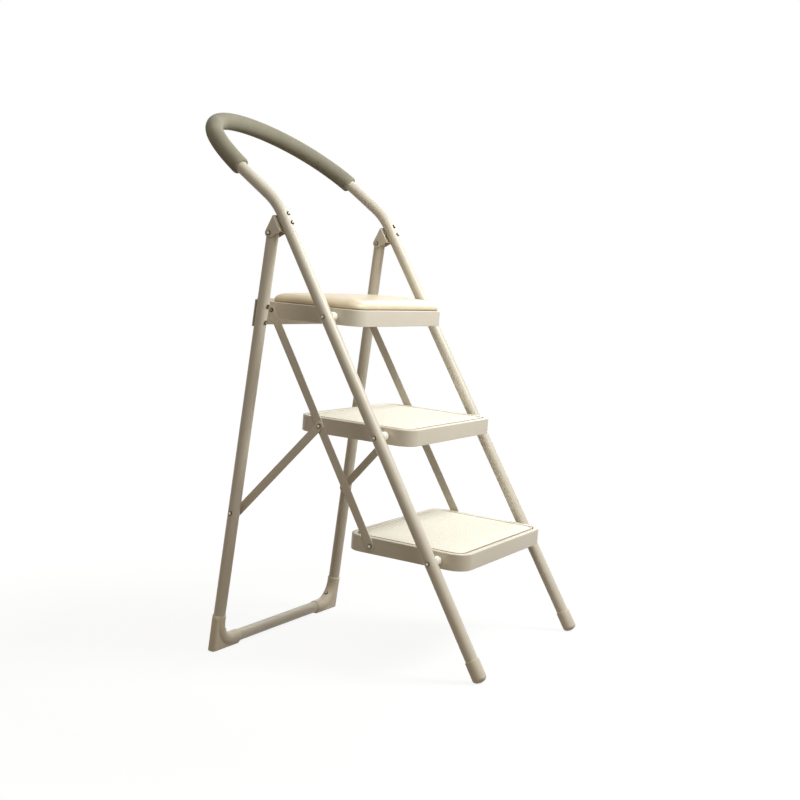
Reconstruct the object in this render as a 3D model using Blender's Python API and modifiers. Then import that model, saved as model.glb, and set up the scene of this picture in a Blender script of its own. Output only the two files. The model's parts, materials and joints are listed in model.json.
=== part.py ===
"""Folding step ladder with two tread pans, a cushioned top step and a foam-covered hoop.

The ladder stands open: X is its width, the climber stands on the -Y side and +Z is up.
Sizes are in metres and angles in degrees. Each moving group hangs on an empty that lies
on its joint's axis, and the origin is on the floor, under the middle of the ladder.
"""

import math
from typing import NamedTuple

import bmesh
import bpy
from mathutils import Matrix, Vector

# Clearance between neighbours that touch, are threaded through each other or turn
CLEARANCE = 0.0003

# Round tube of both frames
TUBE_DIAMETER = 0.025
TUBE_WALL = 0.0012
TUBE_SIDES = 14

# Front frame: two legs that lean back and in, joined by a hoop over the top step
FRONT_LEAN = 25.14
FOOT_HALF_SPACING = 0.2263
LEG_TAPER = 0.0138
ELBOW_HEIGHT = 0.9293
ELBOW_RADIUS = 0.14
HOOP_LEAN = 48.5
HOOP_CURL = 2.5
HOOP_STRAIGHT = 0.0933
HOOP_REACH = 0.2407
HOOP_STEPS = 12

# Foam grip on the hoop
GRIP_DIAMETER = 0.038
GRIP_LENGTH = 0.664

# Front feet: caps with a rounded end that is worn flat on the floor
FOOT_DIAMETER = 0.0292
FOOT_LENGTH = 0.035
FOOT_ROUNDING = 0.009
FOOT_FLAT_DEPTH = 0.0009
FOOT_SOLE = 0.0015

# Hinge between the frames: a folded bracket behind each front leg, below its elbow
HINGE_BELOW_ELBOW = 0.04984
HINGE_BEHIND = 0.0386
BRACKET_SHEET = 0.0018
BRACKET_SIDE_GAP = 0.0005
BRACKET_BELOW_HINGE = 0.0107
BRACKET_ABOVE_HINGE = 0.0263
BRACKET_EAR_RADIUS = 0.0095
BRACKET_RIVETS_ABOVE_HINGE = (-0.0039, 0.017)

# Rear frame: a U of tube with its cross bar at the floor
REAR_LEAN = 11.44
REAR_TOP_LENGTH = 0.011
REAR_BAR_CLEARANCE = 0.003
REAR_BEND_RADIUS = 0.05

# Corner shoes of the rear frame
SHOE_WALL = 0.0018
SHOE_RISE = 0.062
SHOE_RUN = 0.074
SHOE_HALF_THICKNESS = 0.0095
SHOE_CORNER_RISE = 0.058
SHOE_BLOCK_SETBACK = 0.002
SHOE_BLOCK_PROUD = 0.0005

# Cross rail, a plate on the back of the rear legs that bows out behind the top step
RAIL_TOP = 0.1374
RAIL_HEIGHT = 0.055
RAIL_SHEET = 0.002
RAIL_END_OVERHANG = 0.008
RAIL_CRANK_DEPTH = 0.016
RAIL_CRANK_START = 0.0075
RAIL_CRANK_RUN = 0.014
RAIL_RIVET_INSET = 0.011

# Steps: pans of pressed sheet, hung at their sides
FIRST_STEP_ALONG = 0.243
STEP_PITCH = 0.2625
STEP_TILT = 7.0
LINK_PIVOT_REACH = 0.152
PAN_SIDE_GAP = 0.030
PAN_FRONT = 0.056
PAN_BEHIND_PIVOT = 0.060
TOP_PAN_BEHIND_PIVOT = 0.010
PAN_CORNER_RADIUS = 0.036
TOP_PAN_REAR_RADIUS = 0.0055
PAN_RIM_HEIGHT = 0.0174
PAN_DEPTH = 0.033
PAN_SHEET = 0.0012
RIM_ROUNDING = 0.002
RIM_WIDTH = 0.009
TOP_RIM_WIDTH = 0.0025
RECESS_DEPTH = 0.0035
RECESS_SLOPE = 0.0012
CORNER_STEPS = 5
LEAST_RING_RADIUS = 0.0005
LEAST_RECESS_RADIUS = 0.001

# What lies in the pans
MAT_THICKNESS = 0.0025
BOARD_THICKNESS = 0.0028
CUSHION_TUCK = 0.003
CUSHION_GIRTH_RISE = 0.004
CUSHION_EDGE_RISE = 0.012
CUSHION_EDGE_WIDTH = 0.020
CUSHION_CROWN = 0.009
CUSHION_REAR_RADIUS = 0.006
CUSHION_RINGS = 9
CUSHION_TUCK_RINGS = 3
CUSHION_TOP_SHARE = 0.92

# Bushes that hold the pans off the legs
BUSH_DIAMETER = 0.0195

# Flat bars: the links that keep the steps parallel, and the braces to the rear frame
BAR_WIDTH = 0.018
BAR_THICKNESS = 0.002
LINK_SIDE_GAP = 0.0005
BRACE_SIDE_GAP = 0.001
BRACE_LEG_GAP = 0.001
BRACE_PIVOT_DOWN = 0.584

# Rivets and screws
RIVET_DIAMETER = 0.006
RIVET_HEAD_DIAMETER = 0.0092
RIVET_HEAD_HEIGHT = 0.0024
RIVET_TAIL_DIAMETER = 0.0084
RIVET_TAIL_HEIGHT = 0.0015
RIVET_SHOULDER = 0.72
RIVET_TAIL_TAPER = 0.85
RIVET_SIDES = 8
HOLE_SIDES = 12
HOLE_TURN = 7.0
SCREW_HEAD_DIAMETER = 0.008
SCREW_HEAD_HEIGHT = 0.0022
SCREW_SHOULDER = 0.8
SCREW_DIAMETER = 0.0036
SCREW_LENGTH = 0.006

# How finely bends and round ends are drawn, and the angle from which an edge is sharp
ELBOW_STEPS = 4
REAR_BEND_STEPS = 5
FOOT_STEPS = 5
ROUND_END_SIDES = 16
SHARP_ANGLE = 40.0

# A box whose top is the floor, from its lowest to its highest corner
FLOOR_BOX = ((-1.0, -1.0, -1.0), (1.0, 2.0, 0.0))

# Worked out from the sizes above
TUBE_RADIUS = TUBE_DIAMETER / 2
SIN_LEAN = math.sin(math.radians(FRONT_LEAN))
COS_LEAN = math.cos(math.radians(FRONT_LEAN))
LEG_SPLAY = math.degrees(math.atan(LEG_TAPER * COS_LEAN))
HINGE_ALONG = ELBOW_HEIGHT / COS_LEAN - HINGE_BELOW_ELBOW
BRACKET_RIVETS_ALONG = tuple(HINGE_ALONG + rise for rise in BRACKET_RIVETS_ABOVE_HINGE)
PAN_REAR = LINK_PIVOT_REACH + PAN_BEHIND_PIVOT
TOP_PAN_REAR = LINK_PIVOT_REACH + TOP_PAN_BEHIND_PIVOT
STEP_ALONGS = tuple(FIRST_STEP_ALONG + STEP_PITCH * i for i in range(3))
SIDES = {"left": -1, "right": 1}


class Outline(NamedTuple):
    """A rectangle with round corners, in a step's own plane."""

    half_width: float
    front: float
    rear: float
    front_radius: float
    rear_radius: float

    def ring(self, inset, height):
        """Points around the outline, anticlockwise from above, drawn in by the inset."""
        points = []
        for turn, (x, y, radius) in enumerate(
            (
                (self.half_width, self.front, self.front_radius),
                (self.half_width, self.rear, self.rear_radius),
                (-self.half_width, self.rear, self.rear_radius),
                (-self.half_width, self.front, self.front_radius),
            )
        ):
            corner_radius = max(radius - inset, LEAST_RING_RADIUS)
            back = inset + corner_radius
            centre_x = x - math.copysign(back, x)
            centre_y = y - math.copysign(back, y - (self.front + self.rear) / 2)
            for step in range(CORNER_STEPS + 1):
                angle = math.radians(90 * (turn - 1 + step / CORNER_STEPS))
                points.append(
                    (
                        centre_x + corner_radius * math.cos(angle),
                        centre_y + corner_radius * math.sin(angle),
                        height,
                    )
                )
        return points


class Workshop(NamedTuple):
    """Where the parts and the cutters go, and what the parts are made of."""

    parts: bpy.types.Collection
    cutters: bpy.types.Collection
    finishes: dict


def half_spacing(height):
    """Distance from the middle plane to a leg's centre line at a height."""
    return FOOT_HALF_SPACING - LEG_TAPER * height


def hinge_point():
    """(y, z) of the hinge between the frames, from the front feet."""
    return (
        HINGE_ALONG * SIN_LEAN + HINGE_BEHIND * COS_LEAN,
        HINGE_ALONG * COS_LEAN - HINGE_BEHIND * SIN_LEAN,
    )


def step_point(along):
    """(y, z) of a step's front pivot, from the front feet."""
    return along * SIN_LEAN, along * COS_LEAN


def link_point(along):
    """(y, z) of a step's rear pivot, from the front feet."""
    y, z = step_point(along)
    tilt = math.radians(STEP_TILT)
    return y + LINK_PIVOT_REACH * math.cos(tilt), z + LINK_PIVOT_REACH * math.sin(tilt)


def brace_foot_point():
    """(y, z) of the pivot between a brace and a rear leg."""
    y, z = hinge_point()
    lean = math.radians(REAR_LEAN)
    return y + BRACE_PIVOT_DOWN * math.sin(lean), z - BRACE_PIVOT_DOWN * math.cos(lean)


def hoop_path():
    """The hoop's centre line from the right elbow's corner to its highest point, as (x, y, z)."""
    half_width = half_spacing(ELBOW_HEIGHT)
    lean = math.radians(HOOP_LEAN)
    corner = Vector((half_width, ELBOW_HEIGHT * SIN_LEAN / COS_LEAN, ELBOW_HEIGHT))
    spring = corner + HOOP_STRAIGHT * Vector((0, math.sin(lean), math.cos(lean)))
    path = [corner]
    for step in range(HOOP_STEPS + 1):
        angle = math.pi / 2 * step / HOOP_STEPS
        reach = HOOP_REACH * math.sin(angle)
        bent = math.radians(HOOP_LEAN + HOOP_CURL * math.sin(angle))
        path.append(
            spring
            + Vector((0, math.sin(bent), math.cos(bent))) * reach
            - Vector((half_width * (1 - math.cos(angle)), 0, 0))
        )
    return path


def front_foot_centre():
    """Distance along the leg from the floor to the middle of the foot's rounding."""
    drop = math.hypot(FOOT_DIAMETER / 2 * SIN_LEAN, FOOT_ROUNDING * COS_LEAN)
    return (drop - FOOT_FLAT_DEPTH) / COS_LEAN


def origin_y():
    """The middle of the ladder's depth, measured from where the front legs meet the floor."""
    foot_reach = math.hypot(FOOT_DIAMETER / 2 * COS_LEAN, FOOT_ROUNDING * SIN_LEAN)
    foremost = front_foot_centre() * SIN_LEAN - foot_reach
    rearmost = hoop_path()[-1].y + GRIP_DIAMETER / 2
    return (foremost + rearmost) / 2


def arc_between(before, corner, after, radius, steps):
    """Points of the arc that rounds a corner between two straight runs."""
    into = (corner - before).normalized()
    out = (after - corner).normalized()
    turn = into.angle(out)
    start = corner - into * radius * math.tan(turn / 2)
    axis = into.cross(out).normalized()
    centre = start + axis.cross(into) * radius
    return [
        centre + Matrix.Rotation(turn * step / steps, 3, axis) @ (start - centre)
        for step in range(steps + 1)
    ]


def mirrored(path):
    """A path that ends in the middle plane, carried on to the other side."""
    return path + [Vector((-point.x, point.y, point.z)) for point in path[-2::-1]]


def middle_stretch(path, length):
    """The middle part of a path, of the given length along it."""
    runs = [(b - a).length for a, b in zip(path, path[1:])]
    start = (sum(runs) - length) / 2
    end = start + length
    stretch = []
    at = 0.0
    for a, b, run in zip(path, path[1:], runs):
        for wanted in (start, end):
            if at <= wanted < at + run:
                stretch.append(a.lerp(b, (wanted - at) / run))
        if start < at + run < end:
            stretch.append(b)
        at += run
    return stretch


def round_hole(radius, sides=HOLE_SIDES):
    """Corner radius of a many-sided hole that clears a round piece of this radius."""
    return (radius + CLEARANCE) / math.cos(math.pi / sides)


def add_empty(shop, name, parent, y, z, tilt):
    """An empty that turns about X, with its local Z leaning forwards by the tilt."""
    empty = bpy.data.objects.new(name, None)
    empty.empty_display_size = 0.04
    empty.parent = parent
    empty.location = (0, y, z)
    empty.rotation_euler.x = math.radians(tilt)
    shop.parts.objects.link(empty)
    return empty


def add_part(shop, name, mesh, finish, parent, place):
    """A named part with its material, placed in its parent's space."""
    part = bpy.data.objects.new(name, mesh)
    mesh.materials.append(shop.finishes[finish])
    shop.parts.objects.link(part)
    part.parent = parent
    part.matrix_local = place
    return part


def add_cutter(shop, name, mesh, parent, place):
    """A helper that is only ever used by Booleans."""
    cutter = bpy.data.objects.new(name, mesh)
    cutter.hide_render = True
    cutter.display_type = "WIRE"
    shop.cutters.objects.link(cutter)
    cutter.parent = parent
    cutter.matrix_local = place
    return cutter


def apply_boolean(part, other, operation="DIFFERENCE"):
    """Cuts the part with another object, or joins that object to it."""
    modifier = part.modifiers.new(f"{operation.lower()} {other.name}", "BOOLEAN")
    modifier.operation = operation
    modifier.solver = "EXACT"
    modifier.object = other


def drill(shop, part, radius, depth, place):
    """Cuts a round hole centred on a place, along its Z, in the space of the part's parent."""
    mesh = cylinder_mesh(round_hole(radius), depth, HOLE_SIDES)
    number = len(part.modifiers)
    turned = place @ Matrix.Rotation(math.radians(HOLE_TURN), 4, "Z")
    cutter = add_cutter(shop, f"{part.name}_hole_{number}", mesh, part.parent, turned)
    apply_boolean(part, cutter)


def mesh_of(name, shape):
    """A mesh made from a bmesh, shaded smooth where its faces meet at a low angle."""
    mesh = bpy.data.meshes.new(name)
    shape.to_mesh(mesh)
    shape.free()
    mesh.shade_smooth()
    mesh.set_sharp_from_angle(angle=math.radians(SHARP_ANGLE))
    return mesh


def cylinder_mesh(radius, depth, sides):
    """A closed cylinder along Z."""
    shape = bmesh.new()
    bmesh.ops.create_cone(
        shape, cap_ends=True, segments=sides, radius1=radius, radius2=radius, depth=depth
    )
    return mesh_of("cylinder", shape)


def box_mesh(low, high):
    """A box between two corners."""
    shape = bmesh.new()
    bmesh.ops.create_cube(shape, size=1.0)
    low, high = Vector(low), Vector(high)
    bmesh.ops.scale(shape, vec=high - low, verts=shape.verts)
    bmesh.ops.translate(shape, vec=(low + high) / 2, verts=shape.verts)
    return mesh_of("box", shape)


def disc_hull_mesh(name, discs, thickness, extra_points=()):
    """A plate across X around round ends, each (y, z, radius), and any further (y, z) corners."""
    shape = bmesh.new()
    for y, z, radius in discs:
        place = Matrix.Translation((0, y, z)) @ Matrix.Rotation(math.pi / 2, 4, "Y")
        bmesh.ops.create_cone(
            shape,
            cap_ends=False,
            segments=ROUND_END_SIDES,
            radius1=radius,
            radius2=radius,
            depth=thickness,
            matrix=place,
        )
    for y, z in extra_points:
        for x in (-thickness / 2, thickness / 2):
            shape.verts.new((x, y, z))
    hull = bmesh.ops.convex_hull(shape, input=shape.verts)
    unused = hull["geom_interior"] + hull["geom_unused"]
    bmesh.ops.delete(
        shape, geom=[item for item in unused if isinstance(item, bmesh.types.BMVert)]
    )
    bmesh.ops.dissolve_limit(
        shape, angle_limit=math.radians(0.5), verts=shape.verts, edges=shape.edges
    )
    bmesh.ops.recalc_face_normals(shape, faces=shape.faces)
    return mesh_of(name, shape)


def loft_mesh(name, rings, closed_below=True):
    """Bands between rings of points, from the lowest up, closed at the top."""
    shape = bmesh.new()
    loops = [[shape.verts.new(point) for point in ring] for ring in rings]
    for lower, upper in zip(loops, loops[1:]):
        for i, vertex in enumerate(lower):
            after = (i + 1) % len(lower)
            shape.faces.new((vertex, lower[after], upper[after], upper[i]))
    shape.faces.new(loops[-1])
    if closed_below:
        shape.faces.new(loops[0][::-1])
    return mesh_of(name, shape)


def sweep_mesh(shop, name, path, radius, sides, capped):
    """A round sweep along a path, made from a curve with a bevel."""
    curve = bpy.data.curves.new(name, "CURVE")
    curve.dimensions = "3D"
    curve.bevel_depth = radius
    curve.bevel_resolution = sides // 2 - 2
    curve.use_fill_caps = capped
    spline = curve.splines.new("POLY")
    spline.points.add(len(path) - 1)
    for point, place in zip(spline.points, path):
        point.co = (*place, 1.0)
    guide = bpy.data.objects.new(f"{name}_guide", curve)
    shop.parts.objects.link(guide)
    graph = bpy.context.evaluated_depsgraph_get()
    swept = bpy.data.meshes.new_from_object(guide.evaluated_get(graph))
    bpy.data.objects.remove(guide)
    shape = bmesh.new()
    shape.from_mesh(swept)
    bmesh.ops.remove_doubles(shape, verts=shape.verts, dist=1e-6)
    return mesh_of(name, shape)


def turned_part(shop, name, profile, sides, finish, parent, place):
    """A shape turned about Z from (radius, height) points that run down its outer side."""
    mesh = bpy.data.meshes.new(name)
    count = len(profile)
    edges = [(i, i + 1) for i in range(count - 1)]
    if profile[0][0] > 0:
        edges.append((count - 1, 0))
    mesh.from_pydata([(radius, 0, height) for radius, height in profile], edges, [])
    part = add_part(shop, name, mesh, finish, parent, place)
    screw = part.modifiers.new("turn", "SCREW")
    screw.steps = sides
    screw.render_steps = sides
    screw.use_merge_vertices = True
    screw.merge_threshold = 0.00001
    screw.use_smooth_shade = True
    return part


def add_solidify(part, thickness):
    """Gives an open surface its wall, on the inner side."""
    modifier = part.modifiers.new("wall", "SOLIDIFY")
    modifier.thickness = thickness
    modifier.offset = -1
    modifier.use_even_offset = True


def add_rivet(shop, name, head_at, tail_at, parent, place, tail=True):
    """A rivet along Z: its dome sits above head_at, and its upset end below tail_at."""
    head = RIVET_HEAD_DIAMETER / 2
    shank = RIVET_DIAMETER / 2
    profile = [
        (0, head_at + RIVET_HEAD_HEIGHT),
        (RIVET_SHOULDER * head, head_at + RIVET_SHOULDER * RIVET_HEAD_HEIGHT),
        (head, head_at),
        (shank, head_at),
        (shank, tail_at),
    ]
    if tail:
        upset = RIVET_TAIL_DIAMETER / 2
        end_at = tail_at - RIVET_TAIL_HEIGHT
        profile += [(upset, tail_at), (RIVET_TAIL_TAPER * upset, end_at), (0, end_at)]
    else:
        profile += [(0, tail_at)]
    return turned_part(shop, name, profile, RIVET_SIDES, "steel", parent, place)


def outward(side, x, y, z):
    """A place at x on one side, whose Z points away from the middle plane."""
    return Matrix.Translation((side * x, y, z)) @ Matrix.Rotation(
        side * math.pi / 2, 4, "Y"
    )


def forward(x, y, z):
    """A place whose Z points to the front, along -Y."""
    return Matrix.Translation((x, y, z)) @ Matrix.Rotation(math.pi / 2, 4, "X")


def front_leg_x(along):
    """Half spacing of the front legs, at a distance along them."""
    return half_spacing(along * COS_LEAN)


def leg_place(side, along):
    """A place on a front leg's centre line, in the front frame's space, with Z along the leg."""
    return Matrix.Translation(
        (side * front_leg_x(along), 0, along)
    ) @ Matrix.Rotation(math.radians(-side * LEG_SPLAY), 4, "Y")


def rear_leg_x(down):
    """Half spacing of the rear legs, at a distance down from the hinge."""
    return half_spacing(hinge_point()[1] - down * math.cos(math.radians(REAR_LEAN)))


def in_front_frame(point):
    """A point given from the front feet, in the leaning space of the front frame."""
    return Vector(
        (
            point.x,
            point.y * COS_LEAN - point.z * SIN_LEAN,
            point.y * SIN_LEAN + point.z * COS_LEAN,
        )
    )


def front_frame_path():
    """The whole centre line of the front frame, foot to foot."""
    start_along = front_foot_centre() + FOOT_SOLE
    start = Vector((front_leg_x(start_along), 0, start_along))
    corner, *hoop = [in_front_frame(point) for point in hoop_path()]
    elbow = arc_between(start, corner, hoop[0], ELBOW_RADIUS, ELBOW_STEPS)
    return mirrored([start] + elbow + hoop)


def rear_bar_down():
    """Distance down the rear legs from the hinge to the cross bar's centre line."""
    height = REAR_BAR_CLEARANCE + TUBE_RADIUS
    return (hinge_point()[1] - height) / math.cos(math.radians(REAR_LEAN))


def rear_corner_path(side, rise, run):
    """The rear frame's centre line through one corner, from up the leg to along the bar."""
    down = rear_bar_down()
    corner = Vector((side * rear_leg_x(down), 0, -down))
    above = Vector((side * rear_leg_x(down - rise), 0, rise - down))
    along_bar = Vector((corner.x - side * run, 0, -down))
    bend = arc_between(above, corner, along_bar, REAR_BEND_RADIUS, REAR_BEND_STEPS)
    return [above] + bend + [along_bar]


def build_front_frame(shop, frame):
    """The bent tube, with holes for every rivet, and the foam on its hoop."""
    path = front_frame_path()
    mesh = sweep_mesh(shop, "front_frame_tube", path, TUBE_RADIUS, TUBE_SIDES, False)
    identity = Matrix.Identity(4)
    tube = add_part(shop, "front_frame_tube", mesh, "paint", frame, identity)
    add_solidify(tube, TUBE_WALL)
    shank = RIVET_DIAMETER / 2
    for side in SIDES.values():
        for along in STEP_ALONGS:
            place = outward(side, front_leg_x(along), 0, along)
            drill(shop, tube, shank, 2 * TUBE_DIAMETER, place)
        for along in BRACKET_RIVETS_ALONG:
            place = forward(side * front_leg_x(along), 0, along)
            drill(shop, tube, shank, 2 * TUBE_DIAMETER, place)
    build_foam_grip(shop, frame, path)


def build_foam_grip(shop, frame, path):
    """A foam sleeve threaded over the hoop."""
    stretch = middle_stretch(path, GRIP_LENGTH)
    radius = GRIP_DIAMETER / 2
    mesh = sweep_mesh(shop, "foam_grip", stretch, radius, TUBE_SIDES, False)
    grip = add_part(shop, "foam_grip", mesh, "foam", frame, Matrix.Identity(4))
    add_solidify(grip, radius - round_hole(TUBE_RADIUS, TUBE_SIDES))


def build_front_feet(shop, frame, floor):
    """A cap on each front leg, flat where it stands."""
    centre = front_foot_centre()
    bore = round_hole(TUBE_RADIUS, TUBE_SIDES)
    outer = FOOT_DIAMETER / 2
    sole = centre + FOOT_SOLE - CLEARANCE
    top = centre + FOOT_LENGTH
    profile = [(0, sole), (bore, sole), (bore, top), (outer, top)]
    for step in range(FOOT_STEPS):
        angle = math.radians(90 * step / FOOT_STEPS)
        profile.append(
            (outer * math.cos(angle), centre - FOOT_ROUNDING * math.sin(angle))
        )
    profile.append((0, centre - FOOT_ROUNDING))
    for name, side in SIDES.items():
        foot = turned_part(
            shop,
            f"{name}_front_foot",
            profile,
            TUBE_SIDES,
            "plastic",
            frame,
            leg_place(side, 0.0),
        )
        apply_boolean(foot, floor)


def build_hinge_brackets(shop, frame):
    """A channel behind each front leg, whose two ears straddle the rear leg."""
    inner = TUBE_RADIUS + BRACKET_SIDE_GAP
    outer = inner + BRACKET_SHEET
    face = TUBE_RADIUS + CLEARANCE
    web = face + BRACKET_SHEET
    beyond = HINGE_BEHIND + 2 * BRACKET_EAR_RADIUS
    shank = RIVET_DIAMETER / 2
    height = BRACKET_BELOW_HINGE + BRACKET_ABOVE_HINGE
    for name, side in SIDES.items():
        corners = [(face, -BRACKET_BELOW_HINGE), (face, BRACKET_ABOVE_HINGE)]
        disc = (HINGE_BEHIND, 0.0, BRACKET_EAR_RADIUS)
        bracket_name = f"{name}_hinge_bracket"
        mesh = disc_hull_mesh(bracket_name, [disc], 2 * outer, corners)
        place = leg_place(side, HINGE_ALONG)
        bracket = add_part(shop, bracket_name, mesh, "paint", frame, place)
        channel = box_mesh((-inner, web, -height), (inner, beyond, height))
        apply_boolean(
            bracket, add_cutter(shop, f"{bracket_name}_channel", channel, frame, place)
        )
        x = front_leg_x(HINGE_ALONG)
        drill(shop, bracket, shank, 4 * outer, outward(side, x, HINGE_BEHIND, HINGE_ALONG))
        for level, along in zip(("lower", "upper"), BRACKET_RIVETS_ALONG):
            x = side * front_leg_x(along)
            drill(shop, bracket, shank, 2 * BRACKET_SHEET, forward(x, face, along))
            add_rivet(
                shop,
                f"{name}_bracket_rivet_{level}",
                TUBE_RADIUS + CLEARANCE,
                -web - CLEARANCE,
                frame,
                forward(x, 0, along),
            )
        add_rivet(
            shop,
            f"{name}_hinge_rivet",
            outer + 2 * CLEARANCE,
            -outer - 2 * CLEARANCE,
            frame,
            outward(side, front_leg_x(HINGE_ALONG), HINGE_BEHIND, HINGE_ALONG),
        )


def build_step_hangers(shop, frame):
    """A bush and a rivet for each end of each step."""
    for level, along in zip(("bottom", "middle", "top"), STEP_ALONGS):
        for name, side in SIDES.items():
            place = outward(side, front_leg_x(along), 0, along)
            bore = round_hole(RIVET_DIAMETER / 2, HOLE_SIDES)
            outer = BUSH_DIAMETER / 2
            inner_end = CLEARANCE - PAN_SIDE_GAP
            profile = [(outer, 0), (outer, inner_end), (bore, inner_end), (bore, 0)]
            bush = turned_part(
                shop,
                f"{name}_{level}_step_bush",
                profile,
                HOLE_SIDES,
                "bush",
                frame,
                place,
            )
            saddle = cylinder_mesh(
                round_hole(TUBE_RADIUS, 2 * TUBE_SIDES), 2 * BUSH_DIAMETER, 2 * TUBE_SIDES
            )
            cutter_name = f"{name}_{level}_saddle"
            cutter = add_cutter(shop, cutter_name, saddle, frame, leg_place(side, along))
            apply_boolean(bush, cutter)
            add_rivet(
                shop,
                f"{name}_{level}_step_rivet",
                TUBE_RADIUS + CLEARANCE,
                -PAN_SIDE_GAP - PAN_SHEET - CLEARANCE,
                frame,
                place,
            )


def build_rear_frame(shop, frame):
    """The U of tube, its corner shoes and screws, and the cross rail with its rivets."""
    top = Vector((rear_leg_x(-REAR_TOP_LENGTH), 0, REAR_TOP_LENGTH))
    corner = rear_corner_path(1, SHOE_RISE, SHOE_RUN)
    middle = Vector((0, 0, corner[-1].z))
    path = mirrored([top] + corner[1:-1] + [middle])
    mesh = sweep_mesh(shop, "rear_frame_tube", path, TUBE_RADIUS, TUBE_SIDES, False)
    identity = Matrix.Identity(4)
    tube = add_part(shop, "rear_frame_tube", mesh, "paint", frame, identity)
    add_solidify(tube, TUBE_WALL)
    build_cross_rail(shop, frame, tube)
    for name, side in SIDES.items():
        for down in (0.0, BRACE_PIVOT_DOWN):
            place = outward(side, rear_leg_x(down), 0, -down)
            drill(shop, tube, RIVET_DIAMETER / 2, 2 * TUBE_DIAMETER, place)
        add_rivet(
            shop,
            f"{name}_brace_rivet_outer",
            TUBE_RADIUS + CLEARANCE,
            -TUBE_RADIUS,
            frame,
            outward(side, rear_leg_x(BRACE_PIVOT_DOWN), 0, -BRACE_PIVOT_DOWN),
            tail=False,
        )
        build_corner_shoe(shop, frame, tube, name, side)


def shoe_block_mesh(name, side, radius):
    """The L-shaped block that squares a corner shoe and reaches down to the floor."""
    down = rear_bar_down()
    corner_x = rear_leg_x(down)
    inner_x = corner_x - SHOE_RUN + SHOE_BLOCK_SETBACK
    outer_x = corner_x + radius + SHOE_BLOCK_PROUD
    floor = -down - TUBE_DIAMETER
    outline = [
        (inner_x, floor),
        (outer_x, floor),
        (outer_x, SHOE_CORNER_RISE - down),
        (corner_x, SHOE_CORNER_RISE - down),
        (corner_x, -down),
        (inner_x, -down),
    ]
    shape = bmesh.new()
    front = [shape.verts.new((side * x, -SHOE_HALF_THICKNESS, z)) for x, z in outline]
    face = shape.faces.new(front)
    block = bmesh.ops.extrude_face_region(shape, geom=[face])["geom"]
    rear = [item for item in block if isinstance(item, bmesh.types.BMVert)]
    bmesh.ops.translate(shape, vec=(0, 2 * SHOE_HALF_THICKNESS, 0), verts=rear)
    lean = math.radians(REAR_LEAN)
    for vertex in shape.verts:
        if vertex.co.z < -down - TUBE_RADIUS:
            vertex.co.z = -hinge_point()[1] / math.cos(lean) - vertex.co.y * math.tan(lean)
    bmesh.ops.recalc_face_normals(shape, faces=shape.faces)
    return mesh_of(name, shape)


def build_corner_shoe(shop, frame, tube, name, side):
    """A moulded corner over the rear frame's bend, squared outside and flat on the floor."""
    path = rear_corner_path(side, SHOE_RISE, SHOE_RUN)
    shoe_name = f"{name}_corner_shoe"
    radius = TUBE_RADIUS + SHOE_WALL
    identity = Matrix.Identity(4)
    mesh = sweep_mesh(shop, shoe_name, path, radius, TUBE_SIDES, True)
    shoe = add_part(shop, shoe_name, mesh, "plastic", frame, identity)
    block = shoe_block_mesh(f"{shoe_name}_block", side, radius)
    cutter = add_cutter(shop, f"{shoe_name}_block", block, frame, identity)
    apply_boolean(shoe, cutter, "UNION")
    bend = path[1:-1]
    middle = bend[len(bend) // 2 - 1].lerp(bend[len(bend) // 2], 0.5)
    inwards = Vector((-side, 0, 1)).normalized()
    place = Matrix.Translation(middle) @ inwards.to_track_quat("Z", "Y").to_matrix().to_4x4()
    for target in (shoe, tube):
        drill(
            shop,
            target,
            SCREW_DIAMETER / 2,
            TUBE_DIAMETER,
            place @ Matrix.Translation((0, 0, TUBE_RADIUS)),
        )
    overrun = TUBE_DIAMETER
    channel_path = rear_corner_path(side, SHOE_RISE + overrun, SHOE_RUN + overrun)
    bore = round_hole(TUBE_RADIUS, TUBE_SIDES)
    mesh = sweep_mesh(shop, f"{shoe_name}_bore", channel_path, bore, TUBE_SIDES, True)
    apply_boolean(shoe, add_cutter(shop, f"{shoe_name}_bore", mesh, frame, identity))
    head_at = radius + 2 * CLEARANCE
    head = SCREW_HEAD_DIAMETER / 2
    profile = [
        (0, head_at + SCREW_HEAD_HEIGHT),
        (SCREW_SHOULDER * head, head_at + SCREW_SHOULDER * SCREW_HEAD_HEIGHT),
        (head, head_at),
        (SCREW_DIAMETER / 2, head_at),
        (SCREW_DIAMETER / 2, head_at - SCREW_LENGTH),
        (0, head_at - SCREW_LENGTH),
    ]
    turned_part(
        shop, f"{name}_shoe_screw", profile, RIVET_SIDES, "steel", frame, place
    )


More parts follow.
